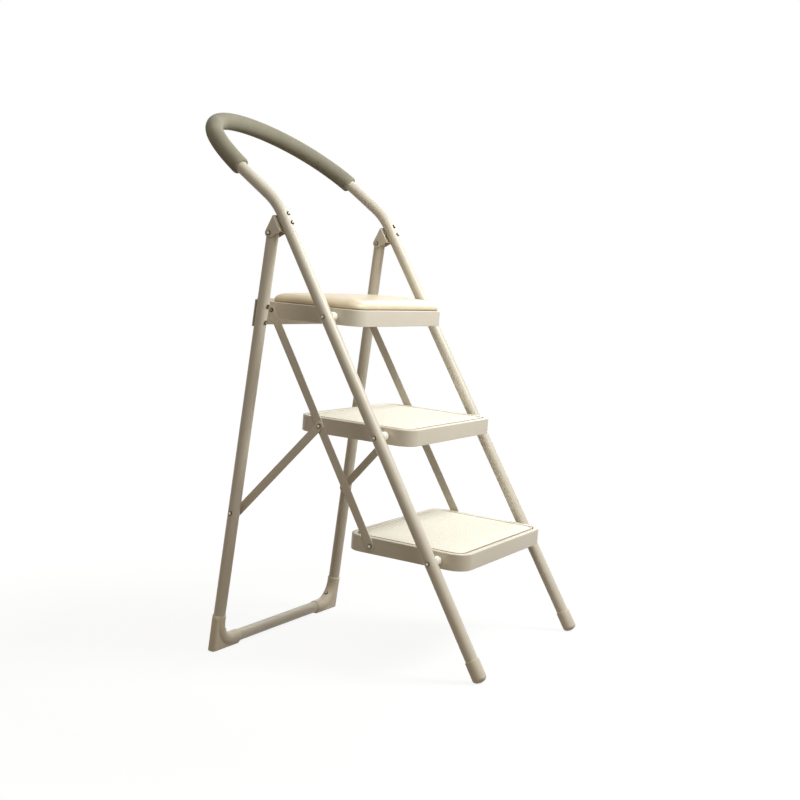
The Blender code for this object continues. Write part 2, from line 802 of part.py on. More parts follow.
def build_cross_rail(shop, frame, tube):
    """A sheet rail on the back of the rear legs, bowed out behind the steps."""
    leg_x = rear_leg_x(RAIL_TOP + RAIL_HEIGHT / 2)
    face = TUBE_RADIUS + CLEARANCE
    bowed = face + RAIL_CRANK_DEPTH
    crank_x = leg_x - RAIL_CRANK_START
    section = [
        (-leg_x - RAIL_END_OVERHANG, face),
        (-crank_x, face),
        (-crank_x + RAIL_CRANK_RUN, bowed),
        (crank_x - RAIL_CRANK_RUN, bowed),
        (crank_x, face),
        (leg_x + RAIL_END_OVERHANG, face),
    ]
    shape = bmesh.new()
    verts = [shape.verts.new((x, y, -RAIL_TOP)) for x, y in section]
    edges = [shape.edges.new(pair) for pair in zip(verts, verts[1:])]
    sheet = bmesh.ops.extrude_edge_only(shape, edges=edges)["geom"]
    lower = [item for item in sheet if isinstance(item, bmesh.types.BMVert)]
    bmesh.ops.translate(shape, vec=(0, 0, -RAIL_HEIGHT), verts=lower)
    for face_of_sheet in shape.faces:
        if face_of_sheet.normal.y > 0:
            face_of_sheet.normal_flip()
    mesh = mesh_of("rear_cross_rail", shape)
    rail = add_part(shop, "rear_cross_rail", mesh, "paint", frame, Matrix.Identity(4))
    add_solidify(rail, RAIL_SHEET)
    levels = {
        "upper": RAIL_TOP + RAIL_RIVET_INSET,
        "lower": RAIL_TOP + RAIL_HEIGHT - RAIL_RIVET_INSET,
    }
    for name, side in SIDES.items():
        for level, down in levels.items():
            place = forward(side * rear_leg_x(down), 0, -down)
            for part in (tube, rail):
                drill(shop, part, RIVET_DIAMETER / 2, 2 * TUBE_DIAMETER, place)
            add_rivet(
                shop,
                f"{name}_rail_rivet_{level}",
                TUBE_RADIUS + CLEARANCE,
                -face - RAIL_SHEET - CLEARANCE,
                frame,
                place,
            )


def pan_outline(along, rear, rear_radius):
    """The outer outline of a step's pan, around its front pivot."""
    half_width = front_leg_x(along) - PAN_SIDE_GAP
    return Outline(half_width, -PAN_FRONT, rear, PAN_CORNER_RADIUS, rear_radius)


def build_pan(shop, name, outline, rim_width, step, extra_reach):
    """A pressed pan with a raised rim, hung on two rivets and linked by two more."""
    rim = PAN_RIM_HEIGHT
    recess_edge = RIM_ROUNDING + rim_width
    rings = [
        outline.ring(0, rim - PAN_DEPTH),
        outline.ring(0, rim - RIM_ROUNDING),
        outline.ring(RIM_ROUNDING, rim),
        outline.ring(recess_edge, rim),
        outline.ring(recess_edge + RECESS_SLOPE, rim - RECESS_DEPTH),
    ]
    mesh = loft_mesh(name, rings, closed_below=False)
    pan = add_part(shop, name, mesh, "paint", step, Matrix.Identity(4))
    add_solidify(pan, PAN_SHEET)
    level = name.split("_")[0]
    head_at = -PAN_SIDE_GAP + LINK_SIDE_GAP + BAR_THICKNESS + extra_reach + CLEARANCE
    leg_x = outline.half_width + PAN_SIDE_GAP
    for side_name, side in SIDES.items():
        for reach in (0.0, LINK_PIVOT_REACH):
            place = outward(side, outline.half_width, reach, 0)
            drill(shop, pan, RIVET_DIAMETER / 2, 4 * RIVET_DIAMETER, place)
        add_rivet(
            shop,
            f"{side_name}_{level}_link_rivet",
            head_at,
            -PAN_SIDE_GAP - PAN_SHEET - CLEARANCE,
            step,
            outward(side, leg_x, LINK_PIVOT_REACH, 0),
        )


def recess_outline(outline, rim_width):
    """What fits in a pan's recess, with a clearance all round."""
    inset = RIM_ROUNDING + rim_width + RECESS_SLOPE + CLEARANCE
    return Outline(
        outline.half_width - inset,
        outline.front + inset,
        outline.rear - inset,
        max(outline.front_radius - inset, LEAST_RECESS_RADIUS),
        max(outline.rear_radius - inset, LEAST_RECESS_RADIUS),
    )


def build_tread(shop, name, along, parent, extra_reach):
    """A lower step: its pan and the mat in it."""
    outline = pan_outline(along, PAN_REAR, PAN_CORNER_RADIUS)
    build_pan(shop, f"{name}_step_pan", outline, RIM_WIDTH, parent, extra_reach)
    low = PAN_RIM_HEIGHT - RECESS_DEPTH + CLEARANCE
    inner = recess_outline(outline, RIM_WIDTH)
    rings = [inner.ring(0, low), inner.ring(0, low + MAT_THICKNESS)]
    mesh = loft_mesh(f"{name}_step_mat", rings)
    add_part(shop, f"{name}_step_mat", mesh, "mat", parent, Matrix.Identity(4))


def build_seat(shop, along, parent):
    """The top step: its pan, and a cushion on a board."""
    outline = pan_outline(along, TOP_PAN_REAR, TOP_PAN_REAR_RADIUS)
    build_pan(shop, "top_step_pan", outline, TOP_RIM_WIDTH, parent, 0.0)
    low = PAN_RIM_HEIGHT - RECESS_DEPTH + CLEARANCE
    inner = recess_outline(outline, TOP_RIM_WIDTH)
    board_top = low + BOARD_THICKNESS
    rings = [inner.ring(0, low), inner.ring(0, board_top)]
    mesh = loft_mesh("seat_board", rings)
    add_part(shop, "seat_board", mesh, "board", parent, Matrix.Identity(4))
    rings = cushion_rings(inner, board_top + CLEARANCE)
    mesh = loft_mesh("seat_cushion", rings)
    add_part(shop, "seat_cushion", mesh, "vinyl", parent, Matrix.Identity(4))


def cushion_rings(outline, base):
    """Rings of a cushion that is tucked in below, rounded at its edge and crowned on top."""
    outline = outline._replace(rear_radius=CUSHION_REAR_RADIUS)
    girth = base + CUSHION_GIRTH_RISE
    reach = (outline.rear - outline.front) / 2
    rings = []
    for step in range(CUSHION_TUCK_RINGS):
        angle = math.radians(90 * step / CUSHION_TUCK_RINGS)
        rings.append(
            outline.ring(
                CUSHION_TUCK * (1 - math.sin(angle)),
                girth - CUSHION_GIRTH_RISE * math.cos(angle),
            )
        )
    for step in range(CUSHION_RINGS):
        inset = CUSHION_TOP_SHARE * reach * (step / (CUSHION_RINGS - 1)) ** 2
        edge = min(inset / CUSHION_EDGE_WIDTH, 1.0)
        crown = 1 - (1 - inset / reach) ** 2
        height = CUSHION_EDGE_RISE * math.sqrt(1 - (1 - edge) ** 2) + CUSHION_CROWN * crown
        rings.append(outline.ring(inset, girth + height))
    return rings


def build_links(shop, link_axis, side_name):
    """A straight bar through the rear pivots of all three steps."""
    side = SIDES[side_name]
    name = f"{side_name}_link"
    radius = BAR_WIDTH / 2
    discs = [(0, -STEP_PITCH, radius), (0, STEP_PITCH, radius)]
    mesh = disc_hull_mesh(name, discs, BAR_THICKNESS)
    offset = PAN_SIDE_GAP - LINK_SIDE_GAP - BAR_THICKNESS / 2
    x = side * (front_leg_x(STEP_ALONGS[1]) - offset)
    place = Matrix.Translation((x, 0, 0)) @ Matrix.Rotation(
        math.radians(-side * LEG_SPLAY), 4, "Y"
    )
    link = add_part(shop, name, mesh, "paint", link_axis, place)
    for reach in (-STEP_PITCH, 0, STEP_PITCH):
        hole = outward(side, abs(x), 0, reach)
        drill(shop, link, RIVET_DIAMETER / 2, 3 * RIVET_DIAMETER, hole)


def build_brace(shop, brace_axis, side_name, length):
    """A bar from the middle step's rear pivot to the rear leg, with its half of the rivet."""
    side = SIDES[side_name]
    name = f"{side_name}_brace"
    half = BAR_THICKNESS / 2
    top_x = (
        front_leg_x(STEP_ALONGS[1])
        - PAN_SIDE_GAP
        + LINK_SIDE_GAP
        + BAR_THICKNESS
        + BRACE_SIDE_GAP
        + half
    )
    foot_offset = TUBE_RADIUS + BRACE_LEG_GAP + half
    foot_x = rear_leg_x(BRACE_PIVOT_DOWN) - foot_offset
    slant = math.atan2(foot_x - top_x, length)
    radius = BAR_WIDTH / 2
    discs = [(0, 0, radius), (0, -length / math.cos(slant), radius)]
    mesh = disc_hull_mesh(name, discs, BAR_THICKNESS)
    place = Matrix.Translation((side * top_x, 0, 0)) @ Matrix.Rotation(
        -side * slant, 4, "Y"
    )
    brace = add_part(shop, name, mesh, "paint", brace_axis, place)
    for x, reach in ((top_x, 0), (foot_x, -length)):
        hole = outward(side, x, 0, reach)
        drill(shop, brace, RIVET_DIAMETER / 2, 3 * RIVET_DIAMETER, hole)
    inwards = outward(-side, -foot_x, 0, -length)
    head_at = half + CLEARANCE + radius * math.tan(slant)
    add_rivet(
        shop, f"{name}_rivet_inner", head_at, -half, brace_axis, inwards, tail=False
    )


def build_material(name, colour, roughness, metallic):
    """A Principled material of one colour."""
    material = bpy.data.materials.new(name)
    material.use_nodes = True
    shader = material.node_tree.nodes["Principled BSDF"]
    shader.inputs["Base Color"].default_value = (*colour, 1.0)
    shader.inputs["Roughness"].default_value = roughness
    shader.inputs["Metallic"].default_value = metallic
    material.diffuse_color = (*colour, 1.0)
    return material


def open_workshop():
    """An empty scene with its collections and materials."""
    for old in list(bpy.data.objects):
        bpy.data.objects.remove(old)
    scene = bpy.context.scene
    parts = bpy.data.collections.new("folding_step_ladder")
    cutters = bpy.data.collections.new("cutters")
    for collection in (parts, cutters):
        scene.collection.children.link(collection)
    finishes = {
        "paint": build_material("cream painted steel", (0.78, 0.75, 0.68), 0.35, 0.0),
        "steel": build_material("bright steel", (0.62, 0.60, 0.57), 0.3, 1.0),
        "foam": build_material("olive grey foam", (0.16, 0.15, 0.12), 0.9, 0.0),
        "vinyl": build_material("beige vinyl", (0.52, 0.43, 0.33), 0.5, 0.0),
        "board": build_material("fibreboard", (0.35, 0.24, 0.15), 0.8, 0.0),
        "mat": build_material("cream ribbed mat", (0.72, 0.68, 0.60), 0.6, 0.0),
        "plastic": build_material("pale plastic", (0.70, 0.68, 0.63), 0.5, 0.0),
        "bush": build_material("white plastic", (0.82, 0.81, 0.78), 0.4, 0.0),
    }
    return Workshop(parts, cutters, finishes)


def build_ladder():
    """The whole ladder, standing open."""
    shop = open_workshop()
    origin = add_empty(shop, "floor_centre", None, -origin_y(), 0, 0)
    floor_mesh = box_mesh(*FLOOR_BOX)
    floor = add_cutter(shop, "floor_cutter", floor_mesh, origin, Matrix.Identity(4))

    front = add_empty(shop, "front_frame_axis", origin, 0, 0, -FRONT_LEAN)
    build_front_frame(shop, front)
    build_front_feet(shop, front, floor)
    build_hinge_brackets(shop, front)
    build_step_hangers(shop, front)

    rear = add_empty(shop, "rear_fold_axis", origin, *hinge_point(), REAR_LEAN)
    build_rear_frame(shop, rear)

    bottom, middle, top = STEP_ALONGS
    axes = [
        add_empty(shop, f"{name}_step_axis", origin, *step_point(along), STEP_TILT)
        for name, along in zip(("bottom", "middle", "top"), STEP_ALONGS)
    ]
    build_tread(shop, "bottom", bottom, axes[0], 0.0)
    build_tread(shop, "middle", middle, axes[1], BRACE_SIDE_GAP + BAR_THICKNESS)
    build_seat(shop, top, axes[2])

    pivot = Vector(link_point(middle))
    reach = Vector(brace_foot_point()) - pivot
    brace_tilt = math.degrees(math.atan2(reach.x, -reach.y))
    for name in SIDES:
        link_axis = add_empty(shop, f"{name}_link_axis", origin, *pivot, -FRONT_LEAN)
        build_links(shop, link_axis, name)
        brace_axis = add_empty(shop, f"{name}_brace_axis", origin, *pivot, brace_tilt)
        build_brace(shop, brace_axis, name, reach.length)
    return shop


if __name__ == "__main__":
    build_ladder()
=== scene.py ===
"""Looks of a folding step ladder: cream powder coat, beige vinyl seat, textured mats and an olive foam grip.

All places are in metres in the frame of the CAD model. X is the width, the climber stands on the -Y
side and +Z is up. Side -1 is the left of the ladder and side 1 its right.
"""

import json
import logging
import math
from dataclasses import dataclass, field
from enum import Enum

import bmesh
import bpy
import numpy as np
from mathutils import Matrix, Vector

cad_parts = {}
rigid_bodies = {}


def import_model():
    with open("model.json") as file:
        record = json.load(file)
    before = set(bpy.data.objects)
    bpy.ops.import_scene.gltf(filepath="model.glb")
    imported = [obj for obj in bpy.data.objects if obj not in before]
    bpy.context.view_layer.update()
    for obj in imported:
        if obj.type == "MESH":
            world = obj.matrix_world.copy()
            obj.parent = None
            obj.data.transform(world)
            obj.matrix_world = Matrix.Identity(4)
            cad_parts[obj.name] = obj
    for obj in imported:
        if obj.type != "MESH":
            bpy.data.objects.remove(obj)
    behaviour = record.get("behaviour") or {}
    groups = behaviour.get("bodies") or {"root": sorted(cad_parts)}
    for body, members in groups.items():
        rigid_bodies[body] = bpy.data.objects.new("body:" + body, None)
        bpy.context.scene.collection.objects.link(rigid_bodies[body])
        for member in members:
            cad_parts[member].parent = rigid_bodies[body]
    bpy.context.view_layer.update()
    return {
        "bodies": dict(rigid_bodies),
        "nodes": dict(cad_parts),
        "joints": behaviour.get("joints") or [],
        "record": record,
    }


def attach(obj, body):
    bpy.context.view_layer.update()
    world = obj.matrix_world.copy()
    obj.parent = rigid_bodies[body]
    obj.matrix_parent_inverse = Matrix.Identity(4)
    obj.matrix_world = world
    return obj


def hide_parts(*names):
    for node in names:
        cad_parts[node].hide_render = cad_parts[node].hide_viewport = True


Array = np.ndarray
log = logging.getLogger("step_ladder")
SIDES = {"left": -1, "right": 1}
LEVELS = ("bottom", "middle", "top")
MM = 0.001
# Points nearer than this are welded, and edges sharper than this many degrees stay creased
WELD, CREASE = 2e-6, 35
# The least radius of an outline's corner
LEAST_CORNER = 0.0006
# A finish's cloudy patches are this many grains wide, and its two tones mix between these heights
PATCH_GRAINS, TONE_SPAN = 14, (0.35, 0.65)
# How far the roughness strays in the patches, and the depth of the relief
ROUGHNESS_SPREAD, RELIEF_DEPTH = 0.05, 0.3 * MM
# How far red, green and blue light pass into a translucent finish, and the scale of that
REDDENING, PASSAGE = (1.0, 0.9, 0.75), 4 * MM


class Relief(Enum):
    """What the surface of a finish is made of, which sets its pattern."""

    ORANGE_PEEL = "powder coat that has flowed to a faint ripple"
    CELLS = "closed-cell foam skin"
    GRAIN = "embossed grain of vinyl"
    STIPPLE = "stippled tread of a moulded mat"
    SATIN = "fine spark-eroded satin of a mould"
    TURNED = "plated metal with faint streaks"
    FIBRES = "pressed wood fibres"


@dataclass(frozen=True)
class Finish:
    """One real material, with its colours as sRGB hex and its pattern's size in millimetres."""

    name: str
    light: str
    dark: str
    roughness: float
    relief: Relief
    grain_mm: float
    bump: float
    metallic: float = 0.0
    coat: float = 0.0
    sheen: float = 0.0
    # sRGB hex of a painted shade, mixed in where a mesh marks its grooves and rims as shaded; empty for none
    painted_shade: str = ""
    translucence: float = 0.0


# Polyester powder coat on steel: satin, its faint ripple drawn coarser than the real one. Its grooves take a painted
# shade
POWDER_COAT = Finish(
    "cream polyester powder coat", "#dcd5c5", "#d8d0bf", 0.34, Relief.ORANGE_PEEL, 8.0, 0.012, painted_shade="#a08f74"
)
# Nickel-plated steel rivets: bright and a little warm, with a painted shade darkening each head towards its rim
NICKEL = Finish(
    "nickel plated steel", "#bfb69e", "#a89f88", 0.28, Relief.TURNED, 2.0, 0.03, metallic=1.0, painted_shade="#41372b"
)
# Nitrile foam tube: matt, with a skin of fine cells, drawn coarser than the real ones to show
FOAM = Finish("olive nitrile foam", "#9b9785", "#918d7b", 0.88, Relief.CELLS, 3.0, 0.08, sheen=0.03)
# Embossed PVC over padding: soft gloss broken by its grain
VINYL = Finish("beige embossed vinyl", "#e6d8bb", "#e0d0b1", 0.38, Relief.GRAIN, 2.6, 0.12, coat=0.12)
# Soft PVC tread mat: matt and pale, its grip stipple drawn coarser than the real one to show. Its edge and the
# groove inside its bead take a painted shade
MAT = Finish("cream moulded tread mat", "#faf7ec", "#f0ebdc", 0.80, Relief.STIPPLE, 4.0, 0.25, painted_shade="#b09c7e")
# Polypropylene end caps: dull and faintly waxy
CAP_PLASTIC = Finish("pale moulded polypropylene", "#dfd7c6", "#d7cebb", 0.50, Relief.SATIN, 2.5, 0.03)
# Corner shoes: the same polymer, given a paler colour as painted light that lifts them where they sit low in shade
SHOE_PLASTIC = Finish("polypropylene with painted light", "#efe6d2", "#e8deca", 0.50, Relief.SATIN, 2.5, 0.03)
# Nylon spacers: smooth and whiter than the paint, and light passes a little way into them
NYLON = Finish("white moulded nylon", "#fdfbf3", "#f6f3e6", 0.36, Relief.SATIN, 2.0, 0.02, translucence=0.6)
# Hardboard under the seat: brown and fibrous
HARDBOARD = Finish("pressed hardboard", "#8a6a4a", "#6f5238", 0.80, Relief.FIBRES, 4.0, 0.10)


@dataclass(frozen=True)
class Sizes:
    """The ladder's own sizes, in metres and degrees, as the solids have them.

    The solids draw a circle with fourteen sides, and round_share is the circle of equal area. The
    feet use foot_round_share, which keeps them inside the solids' box.
    """

    clearance: float = 0.0003
    round_share: float = 0.983
    foot_round_share: float = 0.975
    tube_radius: float = 0.0125
    tube_wall: float = 0.0012
    front_lean: float = 25.14
    foot_half_spacing: float = 0.2263
    leg_taper: float = 0.0138
    elbow_height: float = 0.9293
    elbow_radius: float = 0.14
    hoop_lean: float = 48.5
    hoop_curl: float = 2.5
    hoop_straight: float = 0.0933
    hoop_reach: float = 0.2407
    grip_radius: float = 0.019
    grip_length: float = 0.664
    grip_ease: float = 0.005
    grip_end_draw: float = 0.0035
    foot_radius: float = 0.0146
    foot_length: float = 0.035
    foot_rounding: float = 0.009
    foot_flat_depth: float = 0.0009
    foot_sole: float = 0.0015
    foot_lip: float = 0.0009
    hinge_along: float = 0.9767
    hinge_behind: float = 0.0386
    bracket_sheet: float = 0.0018
    bracket_side_gap: float = 0.0005
    bracket_below: float = 0.0107
    bracket_above: float = 0.0263
    bracket_ear_radius: float = 0.0095
    bracket_bend: float = 0.0024
    bracket_inner_bend: float = 0.0006
    bracket_rivets_along: tuple[float, float] = (0.9728, 0.9937)
    rear_lean: float = 11.44
    rear_top_length: float = 0.011
    rear_bar_clearance: float = 0.003
    rear_bend_radius: float = 0.05
    shoe_wall: float = 0.0018
    shoe_rise: float = 0.062
    shoe_run: float = 0.074
    shoe_half_thickness: float = 0.0095
    shoe_corner_rise: float = 0.058
    shoe_end_inset: float = 0.002
    shoe_edge: float = 0.005
    shoe_sole_draw: float = 0.3
    rail_top: float = 0.1374
    rail_height: float = 0.055
    rail_sheet: float = 0.002
    rail_rivet_inset: float = 0.011
    step_alongs: tuple[float, float, float] = (0.243, 0.5055, 0.768)
    step_pitch: float = 0.2625
    step_tilt: float = 7.0
    link_reach: float = 0.152
    pan_side_gap: float = 0.030
    pan_front: float = 0.056
    pan_rear: float = 0.212
    top_pan_rear: float = 0.162
    pan_corner: float = 0.036
    top_pan_rear_corner: float = 0.0055
    pan_rim: float = 0.0174
    pan_depth: float = 0.033
    pan_sheet: float = 0.0012
    rim_rounding: float = 0.002
    rim_width: float = 0.009
    top_rim_width: float = 0.0025
    recess_depth: float = 0.0035
    recess_slope: float = 0.0012
    pan_lip: float = 0.0006
    shoulder_run: float = 0.0008
    shoulder_drop: float = 0.0003
    pan_floor_run: float = 0.03
    mat_thickness: float = 0.0025
    mat_gap: float = 0.0010
    mat_lip: float = 0.0006
    mat_under_run: float = 0.03
    bead_rise: float = 0.0008
    bead_inset: float = 0.0024
    bead_half_width: float = 0.0018
    bead_half_height: float = 0.0014
    field_insets: tuple[float, float, float] = (0.0044, 0.0058, 0.05)
    field_drop: float = 0.0004
    board_thickness: float = 0.0028
    cushion_tuck: float = 0.003
    cushion_girth: float = 0.004
    cushion_edge_rise: float = 0.012
    cushion_edge_width: float = 0.020
    cushion_crown: float = 0.009
    cushion_rear_corner: float = 0.006
    cushion_span: float = 0.96
    bush_radius: float = 0.00975
    bush_rounding: float = 0.0035
    bush_saddle: float = 0.002
    bar_width: float = 0.018
    bar_thickness: float = 0.002
    bar_edge: float = 0.0006
    link_side_gap: float = 0.0005
    brace_side_gap: float = 0.001
    brace_leg_gap: float = 0.001
    brace_down: float = 0.584
    rivet_radius: float = 0.003
    head_radius: float = 0.0046
    head_height: float = 0.0024
    head_rim_share: float = 0.25
    tail_radius: float = 0.0042
    tail_height: float = 0.0015
    tail_taper: float = 0.92
    screw_head_radius: float = 0.004
    screw_head_height: float = 0.0022
    screw_rim_share: float = 0.4
    screw_radius: float = 0.0018
    screw_length: float = 0.006


def turn(axis: str, degrees: float) -> Array:
    """A 4x4 matrix that turns about an axis through the origin."""
    return np.array(Matrix.Rotation(math.radians(degrees), 4, axis))


def shift(x: float, y: float, z: float) -> Array:
    """A 4x4 matrix that moves by (x, y, z)."""
    return np.array(Matrix.Translation((x, y, z)))


def placed(matrix: Array, points: Array) -> Array:
    """Points carried by a 4x4 matrix.

    Args:
        matrix: the 4x4 matrix.
        points: an array whose last axis is (x, y, z).

    Returns:
        The carried points, in the same layout.
    """
    return points @ matrix[:3, :3].T + matrix[:3, 3]


@dataclass(frozen=True)
class Stance:
    """Where the frames, pivots and legs stand, worked out from the sizes."""

    size: Sizes = field(default_factory=Sizes)

    @property
    def sin_cos(self) -> tuple[float, float]:
        """Sine and cosine of the front legs' lean."""
        lean = math.radians(self.size.front_lean)
        return math.sin(lean), math.cos(lean)

    def half_spacing(self, height: float) -> float:
        """Distance from the middle plane to a leg's centre line at a height."""
        return self.size.foot_half_spacing - self.size.leg_taper * height

    def front_x(self, along: float) -> float:
        """Half spacing of the front legs at a distance along them."""
        return self.half_spacing(along * self.sin_cos[1])

    def foot_centre(self) -> float:
        """How far up the leg from the floor the middle of the foot's rounding lies.

        Returns:
            The distance, in metres.
        """
        s, c = self.sin_cos
        drop = math.hypot(self.size.foot_radius * s, self.size.foot_rounding * c)
        return (drop - self.size.foot_flat_depth) / c

    def hoop(self, count: int) -> Array:
        """The hoop's centre line from the right elbow's corner to its top.

        It is a straight run, then a quarter of an ellipse in a plane whose lean grows towards the top.

        Args:
            count: number of points on the quarter ellipse.

        Returns:
            Points from the front feet, shape (count + 1, 3).
        """
        z = self.size
        s, c = self.sin_cos
        half = self.half_spacing(z.elbow_height)
        lean = math.radians(z.hoop_lean)
        corner = np.array([half, z.elbow_height * s / c, z.elbow_height])
        spring = corner + z.hoop_straight * np.array([0, math.sin(lean), math.cos(lean)])
        angle = np.linspace(0, math.pi / 2, count)
        bent = np.radians(z.hoop_lean + z.hoop_curl * np.sin(angle))
        reach = z.hoop_reach * np.sin(angle)
        arc = np.stack([-half * (1 - np.cos(angle)), np.sin(bent) * reach, np.cos(bent) * reach], axis=1)
        return np.vstack([corner, spring + arc])

    def origin_y(self) -> float:
        """The middle of the ladder's depth, where the frame's origin lies.

        Returns:
            Its y, from where the front legs meet the floor.
        """
        z = self.size
        s, c = self.sin_cos
        foremost = self.foot_centre() * s - math.hypot(z.foot_radius * c, z.foot_rounding * s)
        return (foremost + self.hoop(3)[-1, 1] + z.grip_radius) / 2

    def hinge(self) -> tuple[float, float]:
        """The hinge, which lies square behind a place on the front legs.

        Returns:
            (y, z) from the front feet.
        """
        z = self.size
        s, c = self.sin_cos
        return z.hinge_along * s + z.hinge_behind * c, z.hinge_along * c - z.hinge_behind * s

    def rear_x(self, down: float) -> float:
        """Half spacing of the rear legs at a distance down from the hinge."""
        return self.half_spacing(self.hinge()[1] - down * math.cos(math.radians(self.size.rear_lean)))

    def bar_down(self) -> float:
        """How far down the rear legs from the hinge the cross bar's centre line lies.

        Returns:
            The distance, in metres.
        """
        z = self.size
        height = z.rear_bar_clearance + z.tube_radius
        return (self.hinge()[1] - height) / math.cos(math.radians(z.rear_lean))

    def link_pivot(self, along: float) -> tuple[float, float]:
        """A step's rear pivot, which lies behind its front one along the tilted step.

        Args:
            along: the step's place along the front legs.

        Returns:
            (y, z) from the front feet.
        """
        s, c = self.sin_cos
        tilt = math.radians(self.size.step_tilt)
        reach = self.size.link_reach
        return along * s + reach * math.cos(tilt), along * c + reach * math.sin(tilt)

    def brace_line(self) -> tuple[float, float]:
        """The line from the middle rear pivot to the brace's foot.

        Returns:
            (tilt in degrees, length in metres).
        """
        lean = math.radians(self.size.rear_lean)
        y0, z0 = self.link_pivot(self.size.step_alongs[1])
        hy, hz = self.hinge()
        y = hy + self.size.brace_down * math.sin(lean) - y0
        z = hz - self.size.brace_down * math.cos(lean) - z0
        return math.degrees(math.atan2(y, -z)), math.hypot(y, z)

    def space(self, y: float, z: float, tilt: float) -> Array:
        """A frame on the ladder's middle plane, given from the front feet and turned about X."""
        return shift(0, y - self.origin_y(), z) @ turn("X", tilt)

    def front_space(self) -> Array:
        """The leaning space of the front frame."""
        return self.space(0, 0, -self.size.front_lean)

    def rear_space(self) -> Array:
        """The leaning space of the rear frame, with its origin on the hinge."""
        return self.space(*self.hinge(), self.size.rear_lean)

    def step_space(self, along: float) -> Array:
        """The tilted space of a step, with its origin on the front pivot."""
        s, c = self.sin_cos
        return self.space(along * s, along * c, self.size.step_tilt)

    def leg_space(self, side: int, along: float) -> Array:
        """A place on a front leg's centre line with Z along the leg, in the front frame's space."""
        splay = math.degrees(math.atan(self.size.leg_taper * self.sin_cos[1]))
        return shift(side * self.front_x(along), 0, along) @ turn("Y", -side * splay)


def outward(side: int, x: float, y: float, z: float) -> Array:
    """A place at x on one side, whose Z points away from the middle plane."""
    return shift(side * x, y, z) @ turn("Y", side * 90)


def forward(x: float, y: float, z: float) -> Array:
    """A place whose Z points to the front."""
    return shift(x, y, z) @ turn("X", 90)


def fillet(before: Array, corner: Array, after: Array, radius: float, count: int) -> Array:
    """Points on the circular arc that rounds the corner between two straight runs.

    Each point is the arc's centre plus the start's offset turned about the bend's axis, by
    Rodrigues' formula for an offset at right angles to that axis.

    Args:
        before: a point on the incoming run.
        corner: where the runs meet.
        after: a point on the outgoing run.
        radius: the bend's radius.
        count: number of points.

    Returns:
        Points of shape (count, 3).
    """
    into = (corner - before) / np.linalg.norm(corner - before)
    out = (after - corner) / np.linalg.norm(after - corner)
    bend = math.acos(float(np.clip(into @ out, -1, 1)))
    axis = np.cross(into, out) / np.linalg.norm(np.cross(into, out))
    start = corner - into * radius * math.tan(bend / 2)
    offset = -np.cross(axis, into) * radius
    angle = np.linspace(0, bend, count)[:, None]
    return start - offset + offset * np.cos(angle) + np.cross(axis, offset) * np.sin(angle)


def mirrored(path: Array) -> Array:
    """A path that ends in the middle plane, carried on to the other side."""
    return np.vstack([path, path[-2::-1] * np.array([-1, 1, 1])])


def lengths_along(path: Array) -> Array:
    """Distance along a path to each of its points."""
    return np.concatenate([[0], np.cumsum(np.linalg.norm(np.diff(path, axis=0), axis=1))])


def sampled(path: Array, at: Array) -> Array:
    """Points of a path at the given distances along it."""
    run = lengths_along(path)
    return np.stack([np.interp(at, run, path[:, i]) for i in range(3)], axis=1)


def tube_rings(path: Array, radii: Array, sides: int, reference: Array) -> Array:
    """Rings round a path: centre + radius (cos a * side + sin a * up).

    Side is the tangent crossed with a reference direction that the path never runs along.

    Args:
        path: centre line, shape (n, 3).
        radii: the radius at each point, shape (n,).
        sides: points in a ring.
        reference: a direction that is never along the path.

    Returns:
        Rings of shape (n, sides, 3).
    """
    tangent = np.gradient(path, axis=0)
    tangent /= np.linalg.norm(tangent, axis=1, keepdims=True)
    side = np.cross(tangent, reference)
    side /= np.linalg.norm(side, axis=1, keepdims=True)
    up = np.cross(side, tangent)
    a = np.linspace(0, 2 * math.pi, sides, endpoint=False)[None, :, None]
    return path[:, None] + radii[:, None, None] * (np.cos(a) * side[:, None] + np.sin(a) * up[:, None])


def open_ended(rings: Array, path: Array, share: float, deep: int) -> Array:
    """Turns both ends of a tube in to its bore and a little way back along it.

    A bore ring is the outer ring drawn towards the centre line by the bore's share of the radius.

    Args:
        rings: the outer rings.
        path: the centre line, a point for each ring.
        share: the bore's share of the outer radius.
        deep: how many rings the bore runs back.

    Returns:
        The rings, with two more at each end.
    """
    bore = path[:, None] + (rings - path[:, None]) * share
    return np.concatenate([bore[[deep, 0]], rings, bore[[-1, -1 - deep]]])


def turned_rings(profile: Array, sides: int) -> Array:
    """A profile turned about Z: (r cos a, r sin a, h).

    Args:
        profile: rows of (radius, height).
        sides: points in a ring.

    Returns:
        Rings of shape (rows, sides, 3).
    """
    a = np.linspace(0, 2 * math.pi, sides, endpoint=False)
    r, h = profile[:, :1], profile[:, 1:]
    return np.stack([r * np.cos(a), r * np.sin(a), np.broadcast_to(h, (len(profile), sides))], axis=2)


def quarter(radius: float, height: float, x: float, z: float, start: float, count: int = 7) -> Array:
    """A quarter of an ellipse about (x, z), from an angle in degrees and running down a quarter turn."""
    a = np.radians(np.linspace(start, start - 90, count))
    return np.stack([x + radius * np.cos(a), z + height * np.sin(a)], axis=1)


